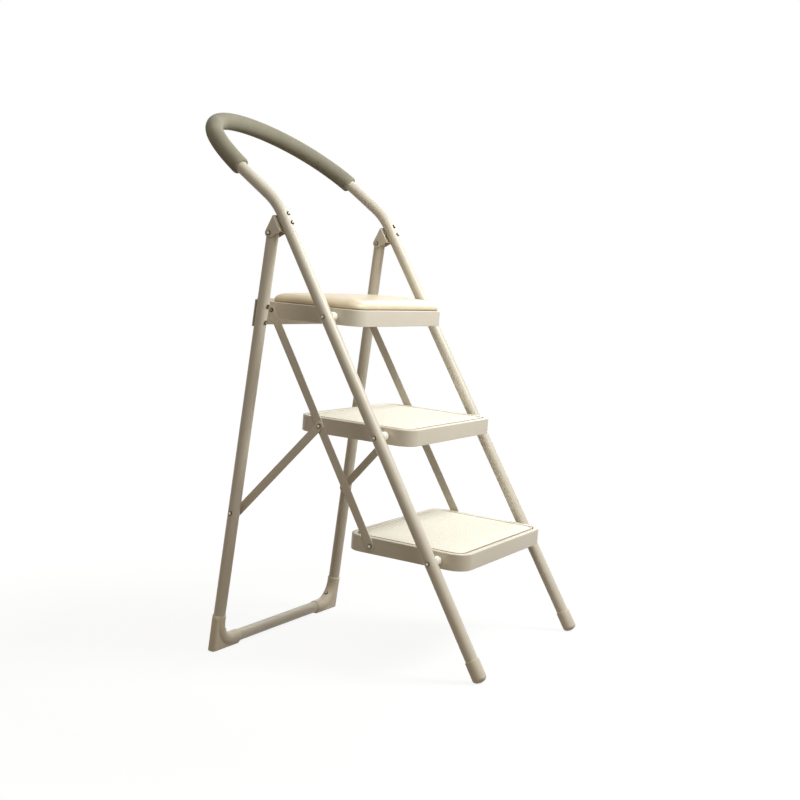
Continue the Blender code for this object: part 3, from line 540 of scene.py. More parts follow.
@dataclass(frozen=True)
class PanOutline:
    """A rectangle with round corners in a step's own plane."""

    half_width: float
    front: float
    rear: float
    front_corner: float
    rear_corner: float

    def rings(self, profile: Array, steps: int = 14) -> Array:
        """One ring for each (inset, height) of a profile.

        A ring is four quarter circles whose centres draw in with the inset and whose radius is
        the corner's less the inset, with straight runs between them.

        Args:
            profile: rows of (inset, height).
            steps: points in each corner.

        Returns:
            Rings of shape (rows, 4 * steps, 3).
        """
        corners = np.array(
            [
                (1, self.front, 1, self.front_corner),
                (1, self.rear, -1, self.rear_corner),
                (-1, self.rear, -1, self.rear_corner),
                (-1, self.front, 1, self.front_corner),
            ]
        )
        turns = np.radians(np.linspace(-90, 0, steps)[None] + 90 * np.arange(4)[:, None])
        inset, height = profile[:, 0, None], profile[:, 1, None, None]
        radius = np.maximum(corners[None, :, 3] - inset, LEAST_CORNER)
        x = corners[None, :, 0] * (self.half_width - inset - radius)
        y = corners[None, :, 1] + corners[None, :, 2] * (inset + radius)
        px = x[:, :, None] + radius[:, :, None] * np.cos(turns)
        py = y[:, :, None] + radius[:, :, None] * np.sin(turns)
        flat = np.stack([px, py, np.broadcast_to(height, px.shape)], axis=3)
        return flat.reshape(len(profile), -1, 3)

    def inner(self, inset: float, rear_corner: float | None = None) -> "PanOutline":
        """The outline drawn in by an inset.

        Args:
            inset: how far each side draws in.
            rear_corner: the rear corners' radius, or nothing for the old one less the inset.

        Returns:
            The new outline.
        """
        return PanOutline(
            self.half_width - inset,
            self.front + inset,
            self.rear - inset,
            max(self.front_corner - inset, MM),
            max(self.rear_corner - inset, MM) if rear_corner is None else rear_corner,
        )


class Paintbox:
    """Builds each finish once, as a material made of nodes."""

    def __init__(self) -> None:
        """Starts with no materials."""
        self.made: dict[str, bpy.types.Material] = {}

    @staticmethod
    def linear(code: str) -> tuple[float, float, float, float]:
        """A colour with sRGB's curve taken off.

        Args:
            code: the sRGB hex colour.

        Returns:
            The linear RGBA colour.
        """
        srgb = np.array([int(code[i : i + 2], 16) / 255 for i in (1, 3, 5)])
        value = np.where(srgb <= 0.04045, srgb / 12.92, ((srgb + 0.055) / 1.055) ** 2.4)
        return (*map(float, value), 1.0)

    @staticmethod
    def add_node(tree: bpy.types.NodeTree, kind: str, settings: dict, links: dict) -> bpy.types.Node:
        """Adds a node with its settings and links.

        Args:
            tree: the node tree.
            kind: Blender's node type.
            settings: attribute or input names and their values.
            links: input names and the output sockets that feed them.

        Returns:
            The node.
        """
        node = tree.nodes.new(kind)
        for name, value in settings.items():
            if name in node.inputs:
                node.inputs[name].default_value = value
            else:
                setattr(node, name, value)
        for name, socket in links.items():
            tree.links.new(socket, node.inputs[name])
        return node

    def material(self, finish: Finish) -> bpy.types.Material:
        """The material of a finish.

        A noise of the grain's size mixes the two colours and, through a bump, gives the relief.
        Foam, mat and vinyl take their relief from cells in place of noise, and hardboard and
        plating stretch it into fibres or streaks.

        Args:
            finish: the finish to build.

        Returns:
            The material, made on first use.
        """
        if finish.name in self.made:
            return self.made[finish.name]
        material = bpy.data.materials.new(finish.name.replace(" ", "_"))
        material.use_nodes = True
        tree = material.node_tree
        shader = tree.nodes["Principled BSDF"]
        shader.inputs["Metallic"].default_value = finish.metallic
        shader.inputs["Coat Weight"].default_value = finish.coat
        shader.inputs["Sheen Weight"].default_value = finish.sheen
        shader.inputs["Subsurface Weight"].default_value = finish.translucence
        shader.inputs["Subsurface Radius"].default_value = REDDENING
        shader.inputs["Subsurface Scale"].default_value = PASSAGE
        place = self.add_node(tree, "ShaderNodeTexCoord", {}, {}).outputs["Object"]
        if finish.relief in (Relief.FIBRES, Relief.TURNED):
            stretched = {"Scale": (0.25, 1.0, 1.0)}
            place = self.add_node(tree, "ShaderNodeMapping", stretched, {"Vector": place}).outputs["Vector"]
        fine = 1 / (finish.grain_mm * MM)
        patches = {"Scale": fine / PATCH_GRAINS, "Detail": 3.0, "Roughness": 0.55}
        cloud = self.add_node(tree, "ShaderNodeTexNoise", patches, {"Vector": place})
        if finish.relief in (Relief.CELLS, Relief.GRAIN, Relief.STIPPLE):
            grain = self.add_node(tree, "ShaderNodeTexVoronoi", {"Scale": fine}, {"Vector": place})
            height = grain.outputs["Distance"]
        else:
            grain = self.add_node(tree, "ShaderNodeTexNoise", {"Scale": fine, "Detail": 4.0}, {"Vector": place})
            height = grain.outputs["Fac"]
        tone = height if finish.relief is Relief.STIPPLE else cloud.outputs["Fac"]
        ramp = self.add_node(tree, "ShaderNodeValToRGB", {}, {"Fac": tone})
        for stop, at, shade in zip(ramp.color_ramp.elements, TONE_SPAN, (finish.dark, finish.light)):
            stop.position, stop.color = at, self.linear(shade)
        colour = ramp.outputs["Color"]
        # Painted shade: a darker colour mixed in by a per-point attribute, standing in for the shadow in grooves and
        # round rivet heads
        if finish.painted_shade:
            depth = self.add_node(tree, "ShaderNodeAttribute", {"attribute_name": "painted_shade"}, {})
            shade_mix = self.add_node(tree, "ShaderNodeMix", {"data_type": "RGBA"}, {})
            shade_mix.inputs[7].default_value = self.linear(finish.painted_shade)
            tree.links.new(depth.outputs["Fac"], shade_mix.inputs[0])
            tree.links.new(colour, shade_mix.inputs[6])
            colour = shade_mix.outputs[2]
        tree.links.new(colour, shader.inputs["Base Color"])
        rough = finish.roughness
        ends = {"To Min": rough - ROUGHNESS_SPREAD, "To Max": min(rough + ROUGHNESS_SPREAD, 1.0)}
        spread = self.add_node(tree, "ShaderNodeMapRange", ends, {"Value": cloud.outputs["Fac"]})
        tree.links.new(spread.outputs["Result"], shader.inputs["Roughness"])
        relief = {"Strength": finish.bump, "Distance": RELIEF_DEPTH}
        bump = self.add_node(tree, "ShaderNodeBump", relief, {"Height": height})
        tree.links.new(bump.outputs["Normal"], shader.inputs["Normal"])
        self.made[finish.name] = material
        return material


class Bench:
    """Turns grids of points into finished pieces that ride on the CAD's bodies."""

    def __init__(self, frame: dict, paints: Paintbox) -> None:
        """Keeps the loaded frame and the paints.

        Args:
            paints: the finishes.
        """
        self.frame = frame
        self.paints = paints

    @staticmethod
    def grid_mesh(name: str, grids: list[Array], shade_rows: list[Array]) -> bpy.types.Mesh:
        """A closed mesh from grids of rings, each closed round and capped with a fan at both ends.

        Args:
            name: the mesh's name.
            grids: arrays of shape (rings, points, 3).
            shade_rows: for each grid, how much painted shade each ring takes, from 0 to 1, or nothing at all.

        Returns:
            The mesh, with its doubles merged, its normals outwards and its creases kept sharp.
        """
        points, quads, fans, base = [], [], [], 0
        for grid in grids:
            rows, around = grid.shape[:2]
            index = base + np.arange(rows * around).reshape(rows, around)
            after = np.roll(index, -1, axis=1)
            quads.append(np.stack([index[:-1], after[:-1], after[1:], index[1:]], axis=2).reshape(-1, 4))
            low, high = base + rows * around, base + rows * around + 1
            fans.append(np.stack([after[0], index[0], np.full(around, low)], axis=1))
            fans.append(np.stack([index[-1], after[-1], np.full(around, high)], axis=1))
            points += [grid.reshape(-1, 3), grid[0].mean(0)[None], grid[-1].mean(0)[None]]
            base += rows * around + 2
        mesh = bpy.data.meshes.new(name)
        faces = np.vstack(quads).tolist() + np.vstack(fans).tolist()
        mesh.from_pydata(np.vstack(points), [], faces)
        # Painted shade: each ring's share of it is stored on the mesh's points for the material to read
        if shade_rows:
            spread = [np.append(np.repeat(row, grid.shape[1]), row[[0, -1]]) for row, grid in zip(shade_rows, grids)]
            layer = mesh.attributes.new("painted_shade", "FLOAT", "POINT")
            layer.data.foreach_set("value", np.concatenate(spread).astype(np.float32))
        shape = bmesh.new()
        shape.from_mesh(mesh)
        bmesh.ops.remove_doubles(shape, verts=shape.verts, dist=WELD)
        bmesh.ops.recalc_face_normals(shape, faces=shape.faces)
        shape.to_mesh(mesh)
        shape.free()
        mesh.shade_smooth()
        mesh.set_sharp_from_angle(angle=math.radians(CREASE))
        return mesh

    def piece(
        self,
        name: str,
        grids: list[Array],
        finish: Finish,
        body: str,
        nodes: list[str],
        slot: str,
        shade_rows: list[Array] | None = None,
    ) -> bpy.types.Object:
        """Makes a piece from grids, dresses it, and lets it stand for CAD nodes.

        Args:
            name: the piece's name.
            grids: its surfaces, in the ladder's frame.
            finish: its finish.
            body: the CAD body that it rides on.
            nodes: the CAD nodes that it stands for.
            slot: the record's material slot; not used.
            shade_rows: for each grid, how much painted shade each ring takes, from 0 to 1.

        Returns:
            The piece.
        """
        made = bpy.data.objects.new(name, self.grid_mesh(name, grids, shade_rows or []))
        bpy.context.scene.collection.objects.link(made)
        made.data.materials.append(self.paints.material(finish))
        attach(made, body)
        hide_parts(*nodes)
        log.info("%s: %d faces on %s", name, len(made.data.polygons), body)
        return made

    def dress(self, node: str, finish: Finish) -> None:
        """Gives a CAD node a finish, and keeps its shape.

        Args:
            node: the CAD node.
            finish: its finish.
        """
        target = self.frame["nodes"][node]
        target.data.materials.clear()
        target.data.materials.append(self.paints.material(finish))
        log.info("%s: CAD shape, %s", node, finish.name)


@dataclass
class Fixings:
    """Rivets and screws: a low dome over a shank, and an upset end."""

    stance: Stance
    bench: Bench
    sides: int = 32
    # A head's painted shade starts at this share of its radius and grows to full over the next share
    unshaded_share: float = 0.45
    shade_fade: float = 0.33

    def head_shade(self, profile: Array, head_radius: float) -> Array:
        """How much painted shade each ring of a head takes: none on its crown, and full at its rim."""
        return np.clip((profile[:, 0] / head_radius - self.unshaded_share) / self.shade_fade, 0, 1)

    def domed(self, node: str, body: str, place: Array, head: tuple[float, ...], shank: list[list[float]]) -> None:
        """A turned piece with a dome, a quarter ellipse that stands on a thin straight rim.

        Args:
            node: the CAD node that it stands for.
            body: the CAD body that it rides on.
            place: where it is, with Z towards the dome.
            head: its radius, its height, the rim's share of that, and the height of its underside.
            shank: rows of (radius, height) below the head.
        """
        radius, height, rim_share, base = head
        rim = rim_share * height
        dome = quarter(radius, height - rim, 0, base + rim, 90, 9)
        profile = np.vstack([dome, [[radius, base]], shank])
        rings = placed(place, turned_rings(profile, self.sides))
        # Painted shade: the head darkens towards its rim
        head_shade = self.head_shade(profile, radius)
        self.bench.piece(f"{node}_domed", [rings], NICKEL, body, [node], "bright_fixings", [head_shade])

    def rivet(self, node: str, body: str, place: Array, head_at: float, tail_at: float, tail: bool = True) -> None:
        """One rivet along Z.

        Args:
            node: the CAD node that it stands for.
            body: the CAD body that it rides on.
            place: where it is, with Z towards the dome.
            head_at: height of the dome's underside.
            tail_at: height where the shank ends.
            tail: whether its end is upset.
        """
        z = self.stance.size
        shank = [[z.rivet_radius, head_at], [z.rivet_radius, tail_at]]
        if tail:
            low = tail_at - z.tail_height
            shank += [[z.tail_radius, tail_at], [z.tail_taper * z.tail_radius, low], [0.0, low]]
        else:
            shank += [[0.0, tail_at]]
        self.domed(node, body, place, (z.head_radius, z.head_height, z.head_rim_share, head_at), shank)

    def screw(self, node: str, body: str, place: Array) -> None:
        """One pan-head screw in a corner shoe.

        Args:
            node: the CAD node that it stands for.
            body: the CAD body that it rides on.
            place: where it is, with Z towards the head.
        """
        z = self.stance.size
        base = z.tube_radius + z.shoe_wall + 2 * z.clearance
        tip = base - z.screw_length
        head = (z.screw_head_radius, z.screw_head_height, z.screw_rim_share, base)
        self.domed(node, body, place, head, [[z.screw_radius, base], [z.screw_radius, tip], [0.0, tip]])


@dataclass
class FrontFrame:
    """The bent tube with its foam, feet, bushes, brackets and rivets."""

    stance: Stance
    bench: Bench
    fixings: Fixings
    body: str = "front_frame"
    sides: int = 48

    def centre_line(self) -> Array:
        """The whole tube's centre line, foot to foot, in the ladder's frame.

        It runs up the leg, round the elbow's arc and over half an ellipse, and is mirrored.

        Returns:
            Points of shape (n, 3).
        """
        stance, z = self.stance, self.stance.size
        s, c = stance.sin_cos
        at = stance.foot_centre() + z.foot_sole
        start = np.array([stance.front_x(at), at * s, at * c])
        hoop = stance.hoop(60)
        elbow = fillet(start, hoop[0], hoop[1], z.elbow_radius, 16)
        half = np.vstack([start, elbow, hoop[1:]])
        return mirrored(half) - np.array([0, stance.origin_y(), 0])

    def hoop_side(self) -> Array:
        """The direction square to the hoop's plane, which the tube never runs along."""
        lean = math.radians(self.stance.size.hoop_lean)
        return np.array([0, math.cos(lean), -math.sin(lean)])

    def build_tube(self) -> None:
        """The painted tube, a circle carried along the centre line."""
        path = self.centre_line()
        run = lengths_along(path)[-1]
        path = sampled(path, np.linspace(0, run, 420))
        radii = np.full(len(path), self.stance.size.tube_radius)
        rings = tube_rings(path, radii, self.sides, self.hoop_side())
        self.bench.piece("front_tube_painted", [rings], POWDER_COAT, self.body, ["front_frame_tube"], "cream_paint")

    def build_grip(self) -> None:
        """The foam sleeve: its radius eases in over its last millimetres as a quarter ellipse."""
        z = self.stance.size
        path = self.centre_line()
        middle = lengths_along(path)[-1] / 2
        ease = z.grip_ease
        ends = ease * (1 - np.cos(np.radians(np.linspace(0, 90, 8))))
        reach = z.grip_length
        at = np.concatenate([ends, np.linspace(ease, reach - ease, 220)[1:-1], (reach - ends)[::-1]])
        inset = np.minimum(at, reach - at)
        rounded = np.sqrt(np.clip(1 - (1 - np.minimum(inset / ease, 1)) ** 2, 0, 1))
        radii = z.round_share * z.grip_radius - z.grip_end_draw * (1 - rounded)
        line = sampled(path, middle - reach / 2 + at)
        rings = tube_rings(line, radii, self.sides, self.hoop_side())
        self.bench.piece("foam_sleeve", [rings], FOAM, self.body, ["foam_grip"], "foam")

    def build_feet(self) -> None:
        """Caps turned about the leg, with a rolled lip, a rounded end and a flat worn at the floor."""
        z = self.stance.size
        centre = self.stance.foot_centre()
        top = centre + z.foot_length
        radius = z.foot_round_share * z.foot_radius
        lip = quarter(z.foot_lip, z.foot_lip, radius - z.foot_lip, top - z.foot_lip, 90, 5)
        end = quarter(radius, z.foot_rounding, 0, centre, 0, 14)
        profile = np.vstack([[[0.0, top]], lip, end])
        for name, side in SIDES.items():
            place = self.stance.front_space() @ self.stance.leg_space(side, 0.0)
            rings = placed(place, turned_rings(profile, self.sides))
            rings[..., 2] = np.maximum(rings[..., 2], 0.0)
            node = f"{name}_front_foot"
            self.bench.piece(f"{node}_cap", [rings], CAP_PLASTIC, self.body, [node], "foot_plastic")

    def build_bushes(self) -> None:
        """Spacers between leg and pan: a short cylinder whose end by the pan is rounded."""
        z = self.stance.size
        near, far = z.clearance - z.pan_side_gap, z.bush_saddle - z.tube_radius
        edge = z.bush_rounding
        round_end = quarter(edge, edge, z.bush_radius - edge, near + edge, 0, 8)
        profile = np.vstack([[[0.0, far], [z.bush_radius, far]], round_end, [[0.0, near]]])
        for level, along in zip(LEVELS, z.step_alongs):
            for name, side in SIDES.items():
                place = self.stance.front_space() @ outward(side, self.stance.front_x(along), 0, along)
                rings = placed(place, turned_rings(profile, self.sides))
                node = f"{name}_{level}_step_bush"
                self.bench.piece(f"{node}_moulded", [rings], NYLON, self.body, [node], "spacer_plastic")

    def bracket_rings(self) -> Array:
        """A bracket: a U-shaped section carried up the leg, whose arms end on the ear's outline.

        Seen from the side the outline is a line from the web's lower end to the ear's circle, an
        arc round the hinge, and a line back to the web's upper end. Each line touches the circle.

        Returns:
            Rings in the leg's space, of shape (rings, points, 3).
        """
        z = self.stance.size
        face = z.tube_radius + z.clearance
        web = face + z.bracket_sheet
        inner = z.tube_radius + z.bracket_side_gap
        outer, r, s = inner + z.bracket_sheet, z.bracket_bend, z.bracket_inner_bend
        reach = z.hinge_behind - face
        low = math.atan2(-z.bracket_below, -reach)
        low += math.acos(z.bracket_ear_radius / math.hypot(reach, z.bracket_below))
        high = math.atan2(z.bracket_above, -reach)
        high -= math.acos(z.bracket_ear_radius / math.hypot(reach, z.bracket_above))
        a = np.linspace(low, high, 16)
        back = z.hinge_behind + z.bracket_ear_radius * np.cos(a)
        back = np.concatenate([[web], back, [web]])[:, None]
        rise = np.concatenate([[-z.bracket_below], z.bracket_ear_radius * np.sin(a), [z.bracket_above]])[:, None]
        b = np.radians(np.linspace(180, 270, 6))
        outside = np.stack([r - outer + r * np.cos(b), face + r + r * np.sin(b)])
        inside = np.stack([s - inner + s * np.cos(b), web + s + s * np.sin(b)])
        # The arms first run on to 1 m, beyond any ear, and the outline then cuts them
        far = np.ones(1)
        x = np.concatenate([-outer * far, outside[0], -outside[0, ::-1], outer * far])
        x = np.concatenate([x, inner * far, -inside[0], inside[0, ::-1], -inner * far])
        y = np.concatenate([far, outside[1], outside[1, ::-1], far, far, inside[1], inside[1, ::-1], far])
        y = np.minimum(y[None], back)
        return np.stack([np.broadcast_to(x, y.shape), y, np.broadcast_to(rise, y.shape)], axis=2)

    def build_brackets(self) -> None:
        """The folded brackets behind the legs."""
        rings = self.bracket_rings()
        for name, side in SIDES.items():
            place = self.stance.front_space() @ self.stance.leg_space(side, self.stance.size.hinge_along)
            node = f"{name}_hinge_bracket"
            self.bench.piece(f"{node}_folded", [placed(place, rings)], POWDER_COAT, self.body, [node], "cream_paint")

    def build_rivets(self) -> None:
        """The step rivets, the bracket rivets and the hinge rivets."""
        stance, z = self.stance, self.stance.size
        space = stance.front_space()
        face = z.tube_radius + z.clearance
        web = face + z.bracket_sheet
        ears = z.tube_radius + z.bracket_side_gap + z.bracket_sheet + 2 * z.clearance
        tail = -z.pan_side_gap - z.pan_sheet - z.clearance
        for name, side in SIDES.items():
            for level, along in zip(LEVELS, z.step_alongs):
                place = space @ outward(side, stance.front_x(along), 0, along)
                self.fixings.rivet(f"{name}_{level}_step_rivet", self.body, place, face, tail)
            for level, along in zip(("lower", "upper"), z.bracket_rivets_along):
                place = space @ forward(side * stance.front_x(along), 0, along)
                node = f"{name}_bracket_rivet_{level}"
                self.fixings.rivet(node, self.body, place, face, -web - z.clearance)
            place = space @ outward(side, stance.front_x(z.hinge_along), z.hinge_behind, z.hinge_along)
            self.fixings.rivet(f"{name}_hinge_rivet", self.body, place, ears, -ears)

    def build(self) -> None:
        """Builds and dresses the whole front frame."""
        self.build_tube()
        self.build_grip()
        self.build_feet()
        self.build_bushes()
        self.build_brackets()
        self.build_rivets()


@dataclass
class RearFrame:
    """The U of tube with its corner shoes, cross rail and rivets."""

    stance: Stance
    bench: Bench
    fixings: Fixings
    body: str = "rear_frame"
    sides: int = 48
    skin_voxel: float = 0.0011
    easing_factor: float = 0.5
    easing_rounds: int = 3

    def corner_line(self, side: int, rise: float, run: float, count: int) -> Array:
        """The tube's centre line through one corner, from up the leg to along the bar.

        Args:
            side: -1 for left, 1 for right.
            rise: distance up the leg from the corner.
            run: distance along the bar from the corner.
            count: points on the bend.

        Returns:
            Points in the rear frame's space.
        """
        stance = self.stance
        down = stance.bar_down()
        x = stance.rear_x(down)
        corner = np.array([side * x, 0, -down])
        above = np.array([side * stance.rear_x(down - rise), 0, rise - down])
        inward = np.array([side * (x - run), 0, -down])
        bend = fillet(above, corner, inward, stance.size.rear_bend_radius, count)
        return np.vstack([above, bend, inward])

    def build_tube(self) -> None:
        """The painted U: a circle carried along the legs, the bends and the bar."""
        stance, z = self.stance, self.stance.size
        top = np.array([stance.rear_x(-z.rear_top_length), 0, z.rear_top_length])
        corner = self.corner_line(1, z.shoe_rise, z.shoe_run, 14)
        half = np.vstack([top, corner[1:-1], [0, 0, corner[-1, 2]]])
        path = mirrored(half)
        path = sampled(path, np.linspace(0, lengths_along(path)[-1], 420))
        rings = tube_rings(path, np.full(len(path), z.tube_radius), self.sides, np.array([0, 1.0, 0]))
        rings = open_ended(rings, path, 1 - z.tube_wall / z.tube_radius, 4)
        rings = placed(stance.rear_space(), rings)
        self.bench.piece("rear_tube_painted", [rings], POWDER_COAT, self.body, ["rear_frame_tube"], "cream_paint")

    def block_rings(self, side: int) -> Array:
        """The squared block of a shoe, as rings from its back face to its front face.

        Its outline is an L. Towards each face the outer side and, less, the sole draw in as a
        quarter circle, which rounds those edges.

        Args:
            side: -1 for left, 1 for right.

        Returns:
            Rings in the rear frame's space, of shape (rings, 6, 3).
        """
        stance, z = self.stance, self.stance.size
        down = stance.bar_down()
        x = stance.rear_x(down)
        outer, inner = x + z.tube_radius + z.shoe_wall, x - z.shoe_run + z.shoe_end_inset
        floor = -stance.hinge()[1] / math.cos(math.radians(z.rear_lean))
        top = z.shoe_corner_rise - down
        outline = np.array([(inner, floor), (outer, floor), (outer, top), (x, top), (x, -down), (inner, -down)])
        draw = z.shoe_sole_draw
        draws = np.array([(0, draw), (-1, draw), (-1, 0), (0, 0), (0, 0), (0, 0)])
        a = np.radians(np.linspace(0, 90, 6))
        deep = z.shoe_half_thickness - z.shoe_edge * (1 - np.sin(a))
        drawn = z.shoe_edge * (1 - np.cos(a))
        y = np.concatenate([-deep[::-1], deep])[:, None]
        flat = outline + np.concatenate([drawn[::-1], drawn])[:, None, None] * draws
        return np.stack([side * flat[..., 0], np.broadcast_to(y, flat.shape[:2]), flat[..., 1]], axis=2)

    def build_shoes(self) -> None:
        """Moulded corners: a thicker elbow joined to a squared block, blended into one skin.

        The elbow is a circle carried round the bend. Both are remeshed together at about 1 mm
        and smoothed, which leaves the fillets of a moulding.
        """
        stance, z = self.stance, self.stance.size
        radius = z.tube_radius + z.shoe_wall
        for name, side in SIDES.items():
            path = self.corner_line(side, z.shoe_rise, z.shoe_run, 14)
            path = sampled(path, np.linspace(0, lengths_along(path)[-1], 60))
            elbow = tube_rings(path, np.full(len(path), radius), self.sides, np.array([0, 1.0, 0]))
            space = stance.rear_space()
            node = f"{name}_corner_shoe"
            grids = [placed(space, elbow), placed(space, self.block_rings(side))]
            shoe = self.bench.piece(f"{node}_moulded", grids, SHOE_PLASTIC, self.body, [node], "foot_plastic")
            self.blend_skin(shoe)

    def blend_skin(self, shoe: bpy.types.Object) -> None:
        """Remeshes a shoe's shells into one and smooths it, then sets its sole back on the floor.

        Args:
            shoe: the piece, whose shells overlap.
        """
        skin = shoe.modifiers.new("one_skin", "REMESH")
        skin.mode = "VOXEL"
        skin.voxel_size = self.skin_voxel
        easing = shoe.modifiers.new("easing", "SMOOTH")
        easing.factor = self.easing_factor
        easing.iterations = self.easing_rounds
        graph = bpy.context.evaluated_depsgraph_get()
        mesh = bpy.data.meshes.new_from_object(shoe.evaluated_get(graph))
        shoe.modifiers.clear()
        points = np.empty(len(mesh.vertices) * 3)
        mesh.vertices.foreach_get("co", points)
        points = points.reshape(-1, 3)
        points[:, 2] = np.maximum(points[:, 2], 0.0)
        mesh.vertices.foreach_set("co", points.ravel())
        mesh.shade_smooth()
        shoe.data = mesh

    def build_rivets(self) -> None:
        """The rail's rivets, the outer halves of the brace rivets and the shoe screws."""
        stance, z = self.stance, self.stance.size
        space = stance.rear_space()
        face = z.tube_radius + z.clearance
        downs = {"upper": z.rail_top + z.rail_rivet_inset, "lower": z.rail_top + z.rail_height - z.rail_rivet_inset}
        for name, side in SIDES.items():
            for level, down in downs.items():
                place = space @ forward(side * stance.rear_x(down), 0, -down)
                tail = -face - z.rail_sheet - z.clearance
                self.fixings.rivet(f"{name}_rail_rivet_{level}", self.body, place, face, tail)
            place = space @ outward(side, stance.rear_x(z.brace_down), 0, -z.brace_down)
            node = f"{name}_brace_rivet_outer"
            self.fixings.rivet(node, self.body, place, face, -z.tube_radius, tail=False)
            bend = self.corner_line(side, z.shoe_rise, z.shoe_run, 15)[1:-1]
            middle = bend[len(bend) // 2]
            inward = turn("Y", -side * 45)
            place = space @ shift(*middle) @ inward
            self.fixings.screw(f"{name}_shoe_screw", self.body, place)

    def build(self) -> None:
        """Builds and dresses the whole rear frame."""
        self.build_tube()
        self.build_shoes()
        self.build_rivets()
        self.bench.dress("rear_cross_rail", POWDER_COAT)


@dataclass
class Steps:
    """The three pressed pans with their mats and the cushion."""

    stance: Stance
    bench: Bench
    fixings: Fixings

    def outline(self, along: float, top: bool) -> PanOutline:
        """A pan's outer outline around its front pivot.

        Args:
            along: the step's place along the front legs.
            top: whether it is the top step, which is shorter.

        Returns:
            The outline.
        """
        z = self.stance.size
        half = self.stance.front_x(along) - z.pan_side_gap
        rear = z.top_pan_rear if top else z.pan_rear
        corner = z.top_pan_rear_corner if top else z.pan_corner
        return PanOutline(half, -z.pan_front, rear, z.pan_corner, corner)

    def build_pan(self, level: str, along: float) -> None:
        """A pan: one profile of (inset, height) carried round the outline, inside first.

        It runs up the inner wall, round the rolled lower edge, up the outer wall, over the
        rounded rim and down into the recess.

        Args:
            level: bottom, middle or top.
            along: the step's place along the front legs.
        """
        z = self.stance.size
        top = level == "top"
        outline = self.outline(along, top)
        rim, low, wall = z.pan_rim, z.pan_rim - z.pan_depth, z.pan_sheet
        edge = z.rim_rounding + (z.top_rim_width if top else z.rim_width)
        floor = rim - z.recess_depth
        a = np.radians(np.linspace(0, 90, 7))
        r = z.rim_rounding
        rounding = np.stack([r * (1 - np.cos(a)), rim - r + r * np.sin(a)], axis=1)
        lip = np.array([[wall, low + z.pan_lip], [0.5 * wall, low], [0.0, low + z.pan_lip]])
        shoulder = np.array([[edge - z.shoulder_run, rim], [edge, rim - z.shoulder_drop]])
        recess = np.array([[edge + z.recess_slope, floor]])
        centre = np.array([[edge + z.recess_slope + z.pan_floor_run, floor]])
        under = np.array([[edge + z.pan_floor_run, floor - wall], [wall, floor - wall]])
        profile = np.vstack([under, lip, rounding, shoulder, recess, centre])
        rings = placed(self.stance.step_space(along), outline.rings(profile))
        # Painted shade: the rim's inner edge takes part of it and the recess takes it fully, standing in for the
        # shadow of the groove
        unshaded_rows = len(under) + len(lip) + len(rounding) + 1
        shade_rows = np.concatenate([np.zeros(unshaded_rows), [0.6], np.ones(len(recess) + len(centre))])
        node, body = f"{level}_step_pan", f"{level}_step"
        self.bench.piece(f"{level}_pan_pressed", [rings], POWDER_COAT, body, [node], "cream_paint", [shade_rows])

    def build_mat(self, level: str, along: float) -> None:
        """A tread mat: a rounded bead runs round it, and its field lies a little lower.

        Args:
            level: bottom or middle.
            along: the step's place along the front legs.
        """
        z = self.stance.size
        inset = z.rim_rounding + z.rim_width + z.recess_slope + z.clearance + z.mat_gap
        outline = self.outline(along, False).inner(inset)
        low = z.pan_rim - z.recess_depth + z.clearance
        level_top, high = low + z.mat_thickness, z.pan_rim + z.bead_rise
        bead = np.radians(np.linspace(180, 0, 11))
        half, thick = z.bead_half_width, z.bead_half_height
        rolled = np.stack([z.bead_inset + half * np.cos(bead), high - thick + thick * np.sin(bead)], axis=1)
        start, flat_from, inmost = z.field_insets
        field_edge = np.array([[start, level_top - z.field_drop], [flat_from, level_top], [inmost, level_top]])
        profile = np.vstack([[[z.mat_under_run, low], [z.mat_lip, low]], rolled, field_edge])
        rings = placed(self.stance.step_space(along), outline.rings(profile))
        # Painted shade: the underside and the bead's outer side take it fully, and the groove between bead and field
        # takes a part
        shade_rows = np.concatenate([[1, 1, 1, 0.7, 0.3], np.zeros(6), [0.3, 0.6, 0.7, 0, 0]])
        node = f"{level}_step_mat"
        self.bench.piece(f"{level}_mat_moulded", [rings], MAT, f"{level}_step", [node], "mat", [shade_rows])

    def build_cushion(self, along: float) -> None:
        """The seat: tucked in below, rounded over its edge as a quarter ellipse, crowned on top.

        The height over the girth is the edge's rise times sqrt(1 - (1 - inset/width)^2), plus
        the crown times 1 - (1 - inset/reach)^2.

        Args:
            along: the top step's place along the front legs.
        """
        z = self.stance.size
        inset = z.rim_rounding + z.top_rim_width + z.recess_slope + z.clearance
        outline = self.outline(along, True).inner(inset, z.cushion_rear_corner)
        base = z.pan_rim - z.recess_depth + 2 * z.clearance + z.board_thickness
        girth = base + z.cushion_girth
        a = np.radians(np.linspace(0, 90, 8))[:-1]
        under = np.stack([z.cushion_tuck * (1 - np.sin(a)), girth - z.cushion_girth * np.cos(a)], axis=1)
        reach = (outline.rear - outline.front) / 2
        drawn = z.cushion_span * reach * np.linspace(0, 1, 46) ** 2
        share = np.minimum(drawn / z.cushion_edge_width, 1)
        crown = 1 - (1 - drawn / reach) ** 2
        height = z.cushion_edge_rise * np.sqrt(1 - (1 - share) ** 2) + z.cushion_crown * crown
        profile = np.vstack([under, np.stack([drawn, girth + height], axis=1)])
        rings = placed(self.stance.step_space(along), outline.rings(profile, 20))
        cushion = self.bench.piece("seat_pad_covered", [rings], VINYL, "top_step", ["seat_cushion"], "vinyl")

